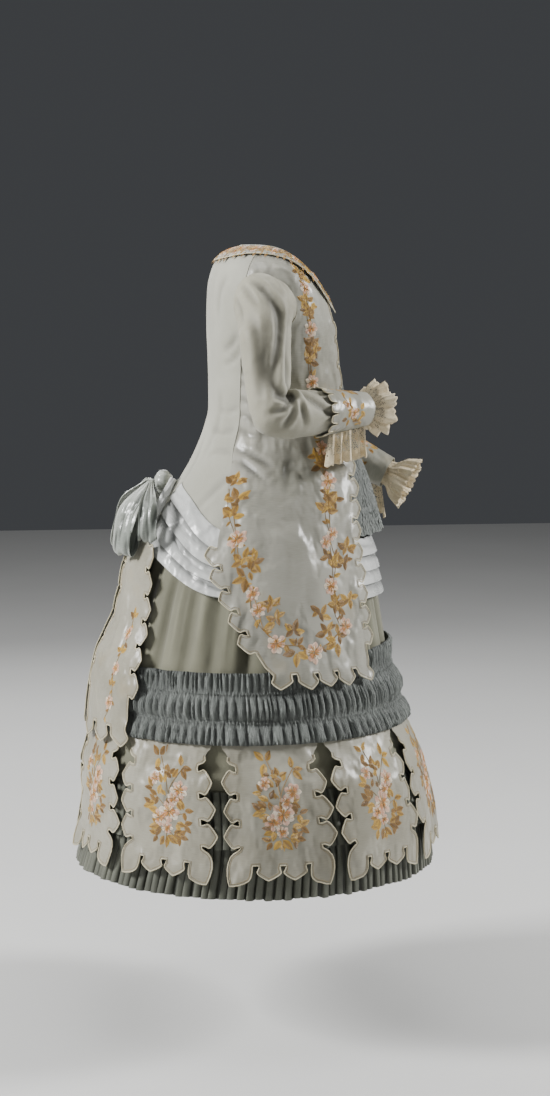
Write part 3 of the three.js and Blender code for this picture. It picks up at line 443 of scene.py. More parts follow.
class Trim:
    """Piping and embroidery on one piece. surface(turn, height, lift) gives points above its cloth."""

    def __init__(self, surface, sign=1, girth=mm_per_degree):
        self.surface, self.sign, self.girth = surface, sign, girth
        self.points, self.faces, self.picks, self.cuts = [], [], [], []
        self.count = 0

    def put(self, points, faces, colour, cuts):
        self.points.append(points)
        self.cuts.append(cuts)
        self.faces.append(faces + self.count)
        self.picks += [colour] * len(faces)
        self.count += len(points)

    def beside(self, centre, x, y):
        """A place on the cloth x millimetres across and y up from another."""
        height = centre[1] + y
        return centre[0] + self.sign * x / float(self.girth(height)), height

    def blade(self, centre, direction, length, width, colour, tint, curl=0.0, blunt=0.8, lift=0.55, base=0.15):
        """A leaf or petal in satin stitch from its foot, pointing direction degrees clockwise from up."""
        slim = width < SLIM
        s = np.linspace(0, 1, 5 if slim else 7)
        o = np.array([-1, 0, 1] if slim else [-1, -0.55, 0, 0.55, 1])
        shape = np.sin(np.pi * np.clip(s, 0.015, 0.985) ** blunt) ** 0.85
        across = width / 2 * shape[:, None] * o[None, :] + curl * length * (s**2)[:, None]
        ahead = (length * s)[:, None] * np.ones(len(o))
        vein = 0.35 * lift * (o[None, :] == 0) * shape[:, None]
        dome = base + lift * shape[:, None] * (1 - o[None, :] ** 2) - vein
        angle = math.radians(direction)
        x = across * math.cos(angle) + ahead * math.sin(angle)
        y = ahead * math.cos(angle) - across * math.sin(angle)
        height = centre[1] + y
        turn = centre[0] + self.sign * x / self.girth(height)
        points = self.surface(turn.ravel(), height.ravel(), dome.ravel())
        stitch = ahead - 0.9 * np.abs(across)
        edge = np.abs(o)[None, :] * np.ones_like(ahead)
        cuts = np.stack([stitch.ravel(), edge.ravel(), np.full(stitch.size, tint)], -1)
        self.put(points, grid_faces(len(s), len(o)), colour, cuts)

    def tube(self, turn, height, radius, colour, lift=0.2, closed=False, sides=5):
        """A cord or stem laid on the cloth along a line of (turn, height)."""
        turn, height = np.asarray(turn, float), np.asarray(height, float)
        centre = self.surface(turn, height, np.full(len(turn), lift))
        above = unit(self.surface(turn, height, np.full(len(turn), lift + 1)) - centre)
        if closed:
            ahead = unit(np.roll(centre, -1, 0) - np.roll(centre, 1, 0))
        else:
            ahead = unit(np.gradient(centre, axis=0))
        beside = unit(np.cross(ahead, above))
        angle = 2 * np.pi * np.arange(sides) / sides
        ring = beside[:, None] * np.cos(angle)[None, :, None] + above[:, None] * np.sin(angle)[None, :, None]
        points = (centre[:, None] + radius * ring).reshape(-1, 3)
        length = np.concatenate([[0], np.cumsum(np.linalg.norm(np.diff(centre, axis=0), axis=1))])
        cuts = np.stack([np.repeat(length, sides), np.tile(angle, len(turn)), np.zeros(len(points))], -1)
        self.put(points, tube_faces(len(turn), sides, closed), colour, cuts)

    def piping(self, outline, where, mirror=1):
        """A cord on part of the edge of a piece, and a line of stitching inside it."""
        flip = [mirror, 1]
        turn, height = (outline[where] * flip).T
        across, up = (set_in(outline, PIPING_INSET, mm_per_degree)[where] * flip).T
        self.tube(turn, height, PIPING, EDGE)
        self.tube(turn + across, height + up, BRAID_RADIUS, BRAID, lift=0.05, sides=4)

    def stem(self, pairs, radius=0.55, colour=STEM):
        line = through(pairs, 4 * len(pairs))
        self.tube(line[:, 0], line[:, 1], radius, colour, sides=4)

    def rose(self, centre, size, random):
        """Loose petals of pale silk in two rounds, and a heart of orange stitches."""
        start = random.uniform(0, 72)
        for k in range(7):
            angle = start + 360 / 7 * k + random.uniform(-9, 9)
            reach = size * random.uniform(0.66, 0.84)
            self.petal(centre, angle, 0.22 * size, reach, 0.6 * size, CREAM if k % 3 == 1 else PINK, random)
        for k in range(5):
            angle = start + 30 + 72 * k + random.uniform(-12, 12)
            colour = ROSE if k % 2 else CREAM
            self.petal(centre, angle, 0.08 * size, 0.5 * size, 0.38 * size, colour, random, 0.6)
        for k in range(16):
            angle = 22.5 * k + random.uniform(-9, 9)
            reach = size * random.uniform(0.38, 0.72)
            colour = ORANGE if k % 4 else GOLD
            self.petal(centre, angle, 0.03 * size, reach, 0.085 * size, colour, random, 0.95)

    def petal(self, centre, angle, start, length, width, colour, random, base=0.25):
        foot = self.beside(centre, *polar(start, angle))
        self.blade(foot, angle, length, width, colour, random.uniform(), blunt=1.5, lift=0.5, base=base)

    def sprig(self, centre, directions, size, random, colour=GOLD):
        """Leaves that meet at their feet, each on a short stalk."""
        other = BRONZE if colour == GOLD else GOLD
        for direction in directions:
            length = size * random.uniform(0.85, 1.15)
            turned = direction + random.uniform(-9, 9)
            foot = self.beside(centre, *polar(0.16 * size, turned))
            shade = other if random.uniform() > 0.7 else colour
            curl = random.uniform(-0.12, 0.12)
            self.blade(foot, turned, length, 0.56 * length, shade, random.uniform(), curl)

    def trail(self, line, step, size, random):
        """Small leaves on alternating sides of a stem."""
        line = np.asarray(line, float)
        run = np.diff(line, axis=0)
        run[:, 0] *= self.sign * self.girth(line[:-1, 1])
        length = np.concatenate([[0], np.cumsum(np.hypot(run[:, 0], run[:, 1]))])
        for k, at in enumerate(np.arange(0.6 * step, length[-1], step)):
            i = min(int(np.searchsorted(length, at)) - 1, len(run) - 1)
            heading = math.degrees(math.atan2(run[i, 0], run[i, 1]))
            side_turn = (58 if k % 2 else -58) + random.uniform(-16, 16)
            colour = BRONZE if random.uniform() > 0.62 else GOLD
            long = size * random.uniform(0.75, 1.2)
            tint = random.uniform()
            self.blade(tuple(line[i]), heading + side_turn, long, 0.5 * long, colour, tint, 0.08)

    def finish(self, name):
        points, cuts = np.concatenate(self.points), np.concatenate(self.cuts)
        piece = make(f"{name}_trim", points, self.faces, THREADS, cuts, self.picks, sharp=80)
        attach(piece, "root")


# ---------------------------------------------------------------- materials


class Signal:
    """A number that changes over a surface. An expression on it adds Math nodes, named in OPERATIONS."""

    def __init__(self, paint, socket):
        self.paint, self.socket = paint, socket

    def math(self, operation, *values):
        return self.paint.add("ShaderNodeMath", {"operation": operation}, *values)

    def between(self, start, end):
        """0 at start and 1 at end, held beyond them."""
        settings = {"interpolation_type": "SMOOTHSTEP", "clamp": True}
        return self.paint.add("ShaderNodeMapRange", settings, self, start, end)


OPERATIONS = {
    "__add__": "ADD",
    "__radd__": "ADD",
    "__sub__": "SUBTRACT",
    "__mul__": "MULTIPLY",
    "__rmul__": "MULTIPLY",
    "sine": "SINE",
    "size": "ABSOLUTE",
    "most": "MAXIMUM",
}
for method, operation in OPERATIONS.items():
    setattr(Signal, method, lambda self, *others, name=operation: self.math(name, self, *others))


def linear(red, green, blue):
    """A colour named by its values from 0 to 255, as light."""
    shares = [c / 255 for c in (red, green, blue)]
    return tuple(((c + 0.055) / 1.055) ** 2.4 for c in shares) + (1.0,)


class Paint:
    """A material of one shader, and the nodes that feed it."""

    def __init__(self, name, **constants):
        self.material = bpy.data.materials.new(name)
        self.material.use_nodes = True
        self.tree = self.material.node_tree
        self.shader = self.tree.nodes["Principled BSDF"]
        for socket, value in constants.items():
            self.shader.inputs[socket.replace("_", " ")].default_value = value

    def node(self, kind, settings, *inputs, **named):
        node = self.tree.nodes.new(kind)
        for key, value in settings.items():
            setattr(node, key, value)
        pairs = [(node.inputs[k], value) for k, value in enumerate(inputs)]
        pairs += [(node.inputs[key], value) for key, value in named.items()]
        for socket, value in pairs:
            if isinstance(value, Signal):
                self.tree.links.new(value.socket, socket)
            elif value is not None:
                socket.default_value = value
        return node

    def add(self, kind, settings, *inputs, out=0, **named):
        return Signal(self, self.node(kind, settings, *inputs, **named).outputs[out])

    def flat(self):
        """The place on the flat cloth: across, along and a third number, in millimetres."""
        place = self.add("ShaderNodeAttribute", {"attribute_name": "cut"}, out=1)
        split = self.node("ShaderNodeSeparateXYZ", {}, place)
        return [Signal(self, output) for output in split.outputs] + [place]

    def place(self):
        return self.add("ShaderNodeNewGeometry", {}, out=0)

    def painted_fold_shade(self, colour, deep, strength=0.85):
        """The colour, darker where the cloth lies deep in a fold: painted shade."""
        hollow = self.add("ShaderNodeAttribute", {"attribute_name": "hollow"}, out=2)
        return self.blend(hollow * strength, colour, tuple(0.3 * c for c in deep[:3]) + (1.0,))

    def noise(self, where, scale, detail=2.0, roughness=0.5, stretch=(1, 1, 1)):
        moved = self.add("ShaderNodeVectorMath", {"operation": "MULTIPLY"}, where, stretch)
        return self.add("ShaderNodeTexNoise", {}, moved, Scale=scale, Detail=detail, Roughness=roughness)

    def blend(self, share, first, second):
        """A mix of two colours."""
        node = self.tree.nodes.new("ShaderNodeMix")
        node.data_type = "RGBA"
        for name, value in (("Factor_Float", share), ("A_Color", first), ("B_Color", second)):
            socket = next(s for s in node.inputs if s.identifier == name)
            if isinstance(value, Signal):
                self.tree.links.new(value.socket, socket)
            else:
                socket.default_value = value
        return Signal(self, next(s for s in node.outputs if s.identifier == "Result_Color"))

    def bump(self, height, distance, under=None):
        """A relief of a height signal, distance millimetres deep."""
        named = {"Strength": 1.0, "Distance": distance / 1000, "Height": height}
        if under is not None:
            named["Normal"] = under
        return self.add("ShaderNodeBump", {}, **named)

    def feed(self, **sockets):
        for name, signal in sockets.items():
            self.tree.links.new(signal.socket, self.shader.inputs[name.replace("_", " ")])
        return self.material


def twill(name, colour, dark, roughness=0.82, crumple=1.0):
    """Fine wool with a diagonal rib and soft crumpling, a little uneven in tone, and painted shade deep in its
    folds.
    """
    colour, dark = linear(*colour), linear(*dark)
    paint = Paint(name, Sheen_Weight=0.25, Sheen_Roughness=0.5, Specular_IOR_Level=0.3)
    across, up, _, flat = paint.flat()
    rib = ((across + up) * 5.2).sine() * 0.5 + 0.5
    yarn = paint.noise(flat, 1.4, detail=3, stretch=(1, 0.35, 1))
    patchy = paint.noise(paint.place(), 9, detail=3)
    tone = (patchy * 0.7 + yarn * 0.3).between(0.3, 0.72)
    # Painted shade: the colour darkens deep in folds.
    base = paint.painted_fold_shade(paint.blend(tone, dark, colour), dark)
    relief = rib * 0.55 + yarn * 0.45
    ridge = (paint.noise(paint.place(), 11, detail=3, roughness=0.45) - 0.5).size()
    soft = paint.bump(ridge.between(0, 0.18), crumple)
    rough = yarn * 0.12 + roughness - 0.06
    return paint.feed(Base_Color=base, Roughness=rough, Normal=paint.bump(relief, 0.12, under=soft))


def silk(name, colour, shade, roughness=0.42, slub=0.10, stain=None, crumple=2.2, creased=0):
    """Satin or taffeta: slubs across the cloth, soft crumpling, clouds of tone, an uneven gloss and painted shade
    in folds.
    """
    colour, shade = linear(*colour), linear(*shade)
    paint = Paint(name, Sheen_Weight=0.15, Sheen_Roughness=0.35, Specular_IOR_Level=0.5)
    flat = paint.flat()[-1]
    slubs = paint.noise(flat, 0.9, detail=3, stretch=(0.08, 1, 1))
    threads = paint.noise(flat, 0.9, detail=2, stretch=(1.6, 0.12, 1))
    cloud = paint.noise(paint.place(), 7, detail=4, roughness=0.55)
    tone = (cloud * 0.75 + slubs * 0.25).between(0.34, 0.66)
    base = paint.blend(tone, shade, colour)
    if stain is not None:
        worn = paint.noise(paint.place(), 17, detail=2).between(0.6, 0.78)
        base = paint.blend(worn * 0.35, base, linear(*stain))
    # Painted shade: the colour darkens deep in folds.
    base = paint.painted_fold_shade(base, shade)
    gloss = cloud * 0.16 + slubs * 0.1 + (roughness - 0.13)
    ridge = (paint.noise(paint.place(), 13, detail=3, roughness=0.45, stretch=(1, 1, 0.7)) - 0.5).size()
    soft = paint.bump(ridge.between(0, 0.16), crumple)
    if creased:
        pulled = (paint.noise(flat, 0.3, detail=2, stretch=(1, 0.16, 1)) - 0.5).size()
        soft = paint.bump(pulled.between(0, 0.14), creased, under=soft)
    weave = paint.bump(slubs * 0.6 + threads * 0.4, slub, under=soft)
    return paint.feed(Base_Color=base, Roughness=gloss, Normal=weave)


def thread(name, colour, shade, roughness=0.42):
    """Embroidery silk: fine stitches side by side, each motif a little different in tone, with painted shade
    between stitches.
    """
    paint = Paint(name, Sheen_Weight=0.1, Specular_IOR_Level=0.5)
    stitch, edge, tint, _ = paint.flat()
    ridges = (stitch * 8.5).sine() * 0.5 + 0.5
    worn = paint.noise(paint.place(), 160, detail=2)
    # Lighter on each stitch's crest and darker between stitches: painted shade.
    tone = (edge * 0.4 + tint * 0.3 + ridges * 0.25 + worn * 0.3).between(0.25, 0.95)
    return paint.feed(
        Base_Color=paint.blend(tone, linear(*shade), linear(*colour)),
        Roughness=ridges * 0.12 + (roughness - 0.06),
        Normal=paint.bump(ridges, 0.25),
    )


def corded(name, colour, shade):
    """A narrow piping: satin wound slantwise over a cord, with painted shade between its wraps."""
    paint = Paint(name, Sheen_Weight=0.15, Specular_IOR_Level=0.4)
    length, around, _, _ = paint.flat()
    wound = (length * 3.2 + around).sine() * 0.5 + 0.5
    aged = paint.noise(paint.place(), 60, detail=2).between(0.3, 0.7)
    return paint.feed(
        # Lighter on each wrap and darker between wraps: painted shade.
        Base_Color=paint.blend(aged * 0.7 + wound * 0.3, linear(*shade), linear(*colour)),
        Roughness=wound * 0.1 + 0.5,
        Normal=paint.bump(wound, 0.2),
    )


def net_lace(name, colour, shade):
    """Bobbin lace: a fine net with closer sprays of flowers, and open holes between its threads."""
    paint = Paint(name, Sheen_Weight=0.2, Specular_IOR_Level=0.3)
    _, _, border, flat = paint.flat()
    net = paint.add("ShaderNodeTexVoronoi", {"feature": "DISTANCE_TO_EDGE"}, flat, Scale=0.42)
    spray = paint.add("ShaderNodeTexVoronoi", {"feature": "F1"}, flat, Scale=0.085)
    petals = paint.noise(flat, 0.3, detail=2)
    closer = (spray + petals * 0.35).between(0.62, 0.42).most(border.between(0.55, 0.8))
    threads = net.between(0.20, 0.13)
    solid = threads.most(closer * 0.92)
    tone = paint.noise(paint.place(), 55, detail=3).between(0.3, 0.7)
    return paint.feed(
        Base_Color=paint.blend(tone * 0.6 + threads * 0.4, linear(*shade), linear(*colour)),
        Roughness=tone * 0.1 + 0.8,
        Alpha=solid.between(0.3, 0.55),
        Normal=paint.bump(threads + closer, 0.3),
    )


WOOL = twill("back wool", (172, 171, 158), (152, 151, 138), roughness=0.72)
# The same wool as the back, in a darker colour: painted shade on the sleeves.
SHADED_SLEEVE_WOOL = twill("shaded sleeve wool", (158, 155, 138), (138, 135, 119), roughness=0.56, crumple=2.2)
SKIRT_WOOL = twill("skirt wool", (128, 127, 108), (108, 107, 90))
SATIN = silk("satin", (160, 158, 147), (134, 133, 121), 0.34, stain=(160, 149, 122), crumple=3.6)
TAB_SATIN = silk("tab satin", (162, 159, 145), (138, 134, 119), 0.36, stain=(154, 142, 116), crumple=3.8)
BRIGHT_SATIN = silk("bright satin", (200, 201, 198), (172, 174, 171), roughness=0.28, crumple=3.2)
GATHERED = silk("gathered silk", (124, 129, 124), (98, 103, 99), 0.68, slub=0.16, crumple=1.2, creased=1.6)
PLEATED = silk("pleated silk", (108, 110, 97), (82, 84, 74), roughness=0.5)
BOW_SATIN = silk("bow satin", (178, 181, 173), (132, 137, 130), roughness=0.24, crumple=4.0)
LACE = net_lace("lace", (222, 209, 180), (194, 176, 141))
THREADS = [
    thread("gold silk", (204, 162, 64), (116, 80, 22)),
    thread("bronze silk", (154, 114, 46), (92, 64, 20)),
    thread("pink silk", (228, 194, 170), (204, 154, 128)),
    thread("rose silk", (218, 160, 124), (190, 124, 90)),
    thread("orange silk", (222, 156, 66), (190, 116, 36)),
    thread("stem silk", (164, 126, 62), (118, 86, 38)),
    thread("cream silk", (238, 226, 204), (224, 198, 172)),
    corded("piping", (204, 196, 168), (172, 162, 132)),
    corded("stitched line", (150, 134, 100), (122, 106, 74)),
]

# ---------------------------------------------------------------- skirt


def skirt():
    """The plain skirt, whose soft folds fall from under the drape to the gathered band."""
    heights = stops((930, 720, 20), (710, 590, 18), (570, 300, 8))
    turns = np.arange(0, 360, 1.2)
    turn, height = np.meshgrid(turns, heights, indexing="ij")
    shown = smooth(height, 560, 640) * (1 - smooth(height, 700, 800))
    lean = turn + 3 * wander(turn / 360, 3) * smooth(height, 560, 760)
    share, size = uneven((lean % 360) / 360, 30, 11, spread=0.5)
    fold = trough(share) ** 2.2 * size
    fine, fine_size = uneven(((lean + 4) % 360) / 360, 74, 12, spread=0.6)
    small = trough(fine) ** 1.5 * fine_size * smooth(height, 590, 690)
    rise = -4.5 * smooth(height, 700, 765) - shown * (11 * fold + 2.6 * small)
    flat = (turn * mm_per_degree(700), height)
    # Painted shade where the folds sink in.
    fold_darkening = shown * (0.6 * fold + 0.3 * small)
    draped("skirt", turn, height, rise, flat, SKIRT_WOOL, "skirt_cloth", True, hollow=fold_darkening)


# height, how far the band stands off, and how deep its gathers are
BAND_ROWS = (
    (610, 8.6, 6.4), (600, 7.0, 5.6), (589, 5.2, 4.0), (582, 3.6, 1.2), (579, 4.4, 1.2), (576, 3.4, 1.2),
    (568, 7.0, 5.0), (556, 10.4, 6.6), (545, 8.8, 5.6), (539, 4.6, 1.4), (536, 5.6, 1.2), (533, 4.6, 1.4),
    (526, 8.0, 5.6), (514, 11.4, 7.4), (503, 13.4, 7.6),
)
BAND_TOP, UPPER_LINE, LOWER_LINE, BAND_FOOT = 610, 579, 536, 503
BAND_COLUMNS = 1100
# Frill, puff and frill: top, foot, how many gathers and their seed
BAND_ZONES = (
    (BAND_TOP, UPPER_LINE, 170, 21), (UPPER_LINE, LOWER_LINE, 150, 22), (LOWER_LINE, BAND_FOOT, 120, 23),
)


def gathered_band():
    """Shirring between two gathering lines, and a frill above and below. No fold runs on across a line."""
    mean, depth = straight(BAND_ROWS, 1), straight(BAND_ROWS, 2)
    puff_rows = (581, 580, 579, 578, 576, 572, 567, 562, 556, 551, 546, 542)
    lower_rows = (539.5, 537.5, 536, 534.5, 532, 529, 525, 521, 516, 511, 507, 503)
    heights = np.concatenate([np.linspace(BAND_TOP, 584, 8), puff_rows, lower_rows])
    turns = np.arange(BAND_COLUMNS) * 360 / BAND_COLUMNS
    turn, height = np.meshgrid(turns, heights, indexing="ij")
    upper = np.clip((height - LOWER_LINE) / (BAND_TOP - LOWER_LINE), 0, 1)
    lift = 22 * upper * smooth(np.cos(np.radians(turn)), -0.1, 1)
    ripple = np.zeros_like(turn)
    for top, foot, count, seed in BAND_ZONES:
        middle = (top + foot) / 2
        inside_zone = smooth(height, foot - 1.5, foot + 1.5) * (1 - smooth(height, top - 1.5, top + 1.5))
        drift = wander(turn / 360, seed + 20, waves=40, slowest=10) * (height - middle) / 16
        share, size = uneven(((turn + drift) % 360) / 360, count, seed, spread=0.6)
        fold = crest(share) ** 0.45 * size
        forked, fork_size = uneven(((turn - 1.4 * drift) % 360) / 360, 2 * count, seed + 40, spread=0.5)
        fork = crest(forked) * fork_size
        near_line = 1 - smooth(np.abs(height - middle), 4, (top - foot) / 2)
        ripple = ripple + inside_zone * mix(0.45 * fold + 0.55 * fork, fold, near_line)
    crimp = np.zeros_like(turn)
    for line in (UPPER_LINE, LOWER_LINE):
        beads = np.sin(np.radians(turn) * 300 + 5 * wander(turn / 360, 27, waves=20, slowest=6))
        crimp = crimp + 0.9 * beads * np.exp(-(((height - line) / 2.2) ** 2))
    loose = smooth(height, LOWER_LINE, BAND_FOOT) + smooth(height, UPPER_LINE, BAND_TOP)
    edge = 2.6 * wander(turn / 360, 25, waves=40, slowest=20) * loose
    rise = mean(height) + depth(height) * (ripple * 1.35 - 0.66) + crimp
    flat = (turn * mm_per_degree(555) * 1.8, height)
    # Painted shade in the valleys between gathers.
    looks = {"thickness": 0.9, "sharp": 80, "hollow": 0.9 - 1.3 * ripple}
    spot = height + lift + edge
    draped("gathered_band", turn, spot, np.maximum(rise, 2.0), flat, GATHERED, "gathered", True, height, **looks)


# name, (height, low, high) at its top and at its foot, and seed
FLOUNCES = (
    ("upper_flounce", (432, 2.6, 6.9), (345, 9.8, 16.6), 5),
    ("lower_flounce", (374, 2.6, 6.4), (268, 2.4, 10.2), 6),
)
# across one knife pleat: its share of the pitch, and how far out it is
KNIFE_PLEAT = ((0.0, 0.0), (0.06, 0.45), (0.2, 0.78), (0.45, 0.93), (0.72, 1.0), (0.82, 0.86), (0.9, 0.2))


def flounce(name, top, bottom, seed, pleats=127):
    """Knife pleats with a narrow hem. top and bottom are (height, low, high)."""
    random = np.random.default_rng(seed)
    pitch = 360 / pleats
    shares, outs = np.array(KNIFE_PLEAT).T
    starts = np.arange(pleats) * pitch + random.uniform(-0.16, 0.16, pleats) * pitch
    foot_shift = random.uniform(-0.13, 0.13, pleats) * pitch
    size = random.uniform(0.8, 1.05, pleats)
    down = np.linspace(0, 1, 7)
    share = np.tile(shares, pleats)
    which = np.repeat(np.arange(pleats), len(shares))
    turn = starts[which][:, None] + share[:, None] * pitch + foot_shift[which][:, None] * down[None, :] ** 2
    height = mix(top[0], bottom[0], down)[None, :] * np.ones_like(turn)
    height = height + np.where(down == 1, random.uniform(0, 2.4, pleats)[which][:, None], 0)
    low, high = mix(top[1], bottom[1], down)[None, :], mix(top[2], bottom[2], down)[None, :]
    out = np.tile(outs, pleats)[:, None] * size[which][:, None]
    flat = (turn * mm_per_degree(340) * 2.6, height)
    # Painted shade towards the tucked-in side of each pleat.
    looks = {"thickness": 0.9, "sharp": 50, "hollow": (1 - out) * np.ones_like(turn)}
    draped(name, turn, height, mix(low, high, out), flat, PLEATED, "pleated", True, **looks)


# ---------------------------------------------------------------- skirt tabs

TAB_TURNS = (17.6, 53, 89, 126, 162.4)
# height, half the width, rise
TAB_ROWS = (
    (518, 80, 3.6), (490, 80, 8.5), (470, 58, 12.5), (434, 60, 18.7), (398, 61, 18.9), (360, 62, 19.2),
    (318, 62, 19.5),
)
tab_half = straight(TAB_ROWS, 1)
tab_rise = along(TAB_ROWS, 2)
TAB_NOTCHES = (468, 428, 388, 347)
TAB_LOBE, TAB_DROP = 24, 23  # how far a lobe reaches at the sides and at the foot
TAB_SLOT = 40  # how far the outer slots are from the middle
TAB_FOOT, BOUQUET_HEIGHT = 324, 413.0
TAB_HEAD = ((80, 518), (80, 503), (78, 497), (73, 492), (70, 486), (71, 480), (67, 476), (59, 473), (58, 468))
# The lobe at a tab's lower corner, from the last notch round to the outer slot: across and height
TAB_CORNER = (
    (62, 347), (65, 345), (71, 341), (76, 335), (79, 327), (80, 317), (79, 307), (77, 298), (75, 292),
    (69, 292), (61, 294), (54, 296.5), (48, 300.5), (45, 306), (44, 314), (44, 324),
)


def tab_outline(random):
    """A tab's outline in millimetres across from its middle and heights."""

    def half(sign):
        spots = [(sign * x, height) for x, height in TAB_HEAD]
        for k in range(3):
            reach = TAB_LOBE * random.uniform(0.9, 1.06)
            droop = random.uniform(-1, 3)
            for t, out in SCALLOP:
                height = mix(TAB_NOTCHES[k], TAB_NOTCHES[k + 1], t) - droop * out
                spots.append((sign * (float(tab_half(height)) + out * reach), height))
        stretch = random.uniform(0.96, 1.04)
        return spots + [(sign * x * stretch, height + random.uniform(-0.5, 0.5)) for x, height in TAB_CORNER]

    right, left = half(1), half(-1)
    foot = []
    for start in (TAB_SLOT, 0):
        drop = TAB_DROP * random.uniform(0.92, 1.04)
        foot += [(start - t * TAB_SLOT, TAB_FOOT - drop * out) for t, out in SCALLOP]
    return np.array(right + foot + left[::-1], float)


# A bouquet: kind, across and up from the tab's middle, size, and the directions of its leaves
BOUQUET = (
    ("stem", (-34, 56), (-22, 40), (-10, 22), (-4, 0), (0, -28), (-3, -62)),
    ("stem", (8, 68), (2, 52), (-4, 34), (-6, 16)),
    ("stem", (24, 12), (12, 6), (0, -6)),
    ("stem", (-36, -14), (-22, -18), (-8, -24)),
    ("stem", (-20, -56), (-8, -46), (-2, -40)),
    ("stem", (20, -50), (8, -44), (-1, -38)),
    ("leaves", (-30, 54), 17, (-85, 0, -150)),
    ("leaves", (10, 66), 18, (-35, 45, 160)),
    ("leaves", (-8, 42), 12, (-60, 10, 80)),
    ("bronze", (11, 10), 15, (-20, 75, 165)),
    ("bronze", (-4, 8), 13, (-150, 30)),
    ("leaves", (-32, -12), 15, (-85, 20, 185)),
    ("leaves", (10, -14), 17, (85, 125)),
    ("leaves", (8, -36), 17, (75, 115, 165)),
    ("leaves", (-12, -48), 17, (-120, -75)),
    ("leaves", (0, -50), 19, (150, 190, 230)),
    ("leaves", (-20, 4), 16, (-110, -60, 200)),
    ("bronze", (15, -3), 16, (35, 95)),
    ("bronze", (-14, 36), 14, (-20, 60)),
    ("bronze", (-18, -32), 15, (-90, -140)),
    ("leaves", (2, 26), 15, (-30, 30)),
    ("leaves", (14, -52), 15, (70, 150)),
    ("bronze", (-22, -50), 14, (-60, -110, 180)),
    ("leaves", (22, -6), 16, (60, 110)),
    ("bronze", (-30, -32), 15, (-70, -130)),
    ("leaves", (20, 20), 15, (30, 95)),
    ("bronze", (4, 46), 14, (-40, 70)),
    ("rose", (-26, 20), 15),
    ("rose", (16, 34), 10.5),
    ("rose", (-7, -14), 19),
    ("rose", (9, -25), 14),
    ("rose", (-15, 6), 11.5),
    ("rose", (-3, -40), 10),
)


def bouquet(trim, centre, random):
    """Embroiders a bouquet, with each of its parts a little moved."""
    shift = random.uniform(-2, 2, 2)
    for kind, *rest in BOUQUET:
        if kind == "stem":
            trim.stem([trim.beside(centre, x + shift[0], y + shift[1]) for x, y in rest])
            continue
        x, y = (v + s + random.uniform(-1.2, 1.2) for v, s in zip(rest[0], shift))
        spot = trim.beside(centre, x, y)
        if kind == "rose":
            trim.rose(spot, rest[1], random)
        else:
            trim.sprig(spot, rest[2], rest[1], random, GOLD if kind == "leaves" else BRONZE)


def skirt_tab(side_name, sign, index):
    """One of the scalloped panels that hang over the flounces."""
    name, middle = f"skirt_tab_{side_name}_{index + 1}", TAB_TURNS[index]
    random = np.random.default_rng(40 + 10 * index + (sign < 0))
    across, height = tab_outline(random).T
    outline = np.stack([sign * (middle + across / mm_per_degree(height)), height], -1)
    ripple_at = random.uniform(0, 6, 4)

    def surface(turn, height, lift):
        across = (sign * turn - middle) * mm_per_degree(height)
        wave = 1.4 * np.sin(across / 21 + ripple_at[0]) + 1.0 * np.sin(across / 11 + height / 40 + ripple_at[1])
        tip = smooth(np.abs(across), 56, 84) * 2.2 * np.sin(height / 17 + ripple_at[2])
        seam = -0.7 * np.exp(-((across / 1.6) ** 2))
        rise = tab_rise(height) + smooth(height, 500, 400) * (wave + tip) + seam
        return off_form(turn, height, np.maximum(rise, 2.6) + lift)

    laid(name, *patch(outline, TAB_SPACING), surface, middle, TAB_SATIN, "satin", sign)
    trim = Trim(surface, sign)
    trim.piping(outline, slice(4, -4))
    bouquet(trim, (sign * middle, BOUQUET_HEIGHT), random)
    trim.finish(name)


# ---------------------------------------------------------------- bodice

# height, the front edge and the back seam of the side panel in degrees of turn
SEAMS = (
    (1257, 38, 116), (1195, 34, 119), (1092, 33, 124), (1031, 33, 127), (1004, 34, 128), (951, 38, 128),
    (900, 42.5, 123), (850, 45, 117.5), (800, 46, 115), (760, 46, 110), (699, 46.5, 101), (631, 45.5, 92),
    (600, 44.5, 87), (560, 43.5, 84),
)
front_edge, back_seam = along(SEAMS, 1), along(SEAMS, 2)
SEAM_GAP = 0.35
ARMHOLE = (104, 1172, 24, 44)  # turn and height of its middle, half its width and height
BODICE_HEIGHTS = (1256, 1248, 1237, 1216, 1186, 1150, 1115, 1075, 1035, 1000, 965, 930, 895)
PANEL_HEIGHTS = BODICE_HEIGHTS + (862, 829, 796, 764, 732, 700, 668, 636, 606)
# height, and how far the panel stands off at its body and at its front edge
PANEL_RISE = (
    (1257, 2, 4), (1150, 2, 4.4), (1000, 2, 4.6), (965, 2, 6.4), (930, 4, 10.8), (895, 9.5, 15.8),
    (850, 14, 20), (700, 14.5, 18), (640, 15.5, 17), (580, 17, 18),
)
panel_body, panel_edge = along(PANEL_RISE, 1), along(PANEL_RISE, 2)


def armhole(sign, angle, grow=1.0):
    """Turn and height of places on the edge of an armhole."""
    middle, level, half, tall = ARMHOLE
    return sign * (middle + half * grow * np.cos(angle)), level + tall * grow * np.sin(angle)


def armhole_outline(sign, count=48):
    return np.stack(armhole(sign, 2 * np.pi * np.arange(count) / count), -1)


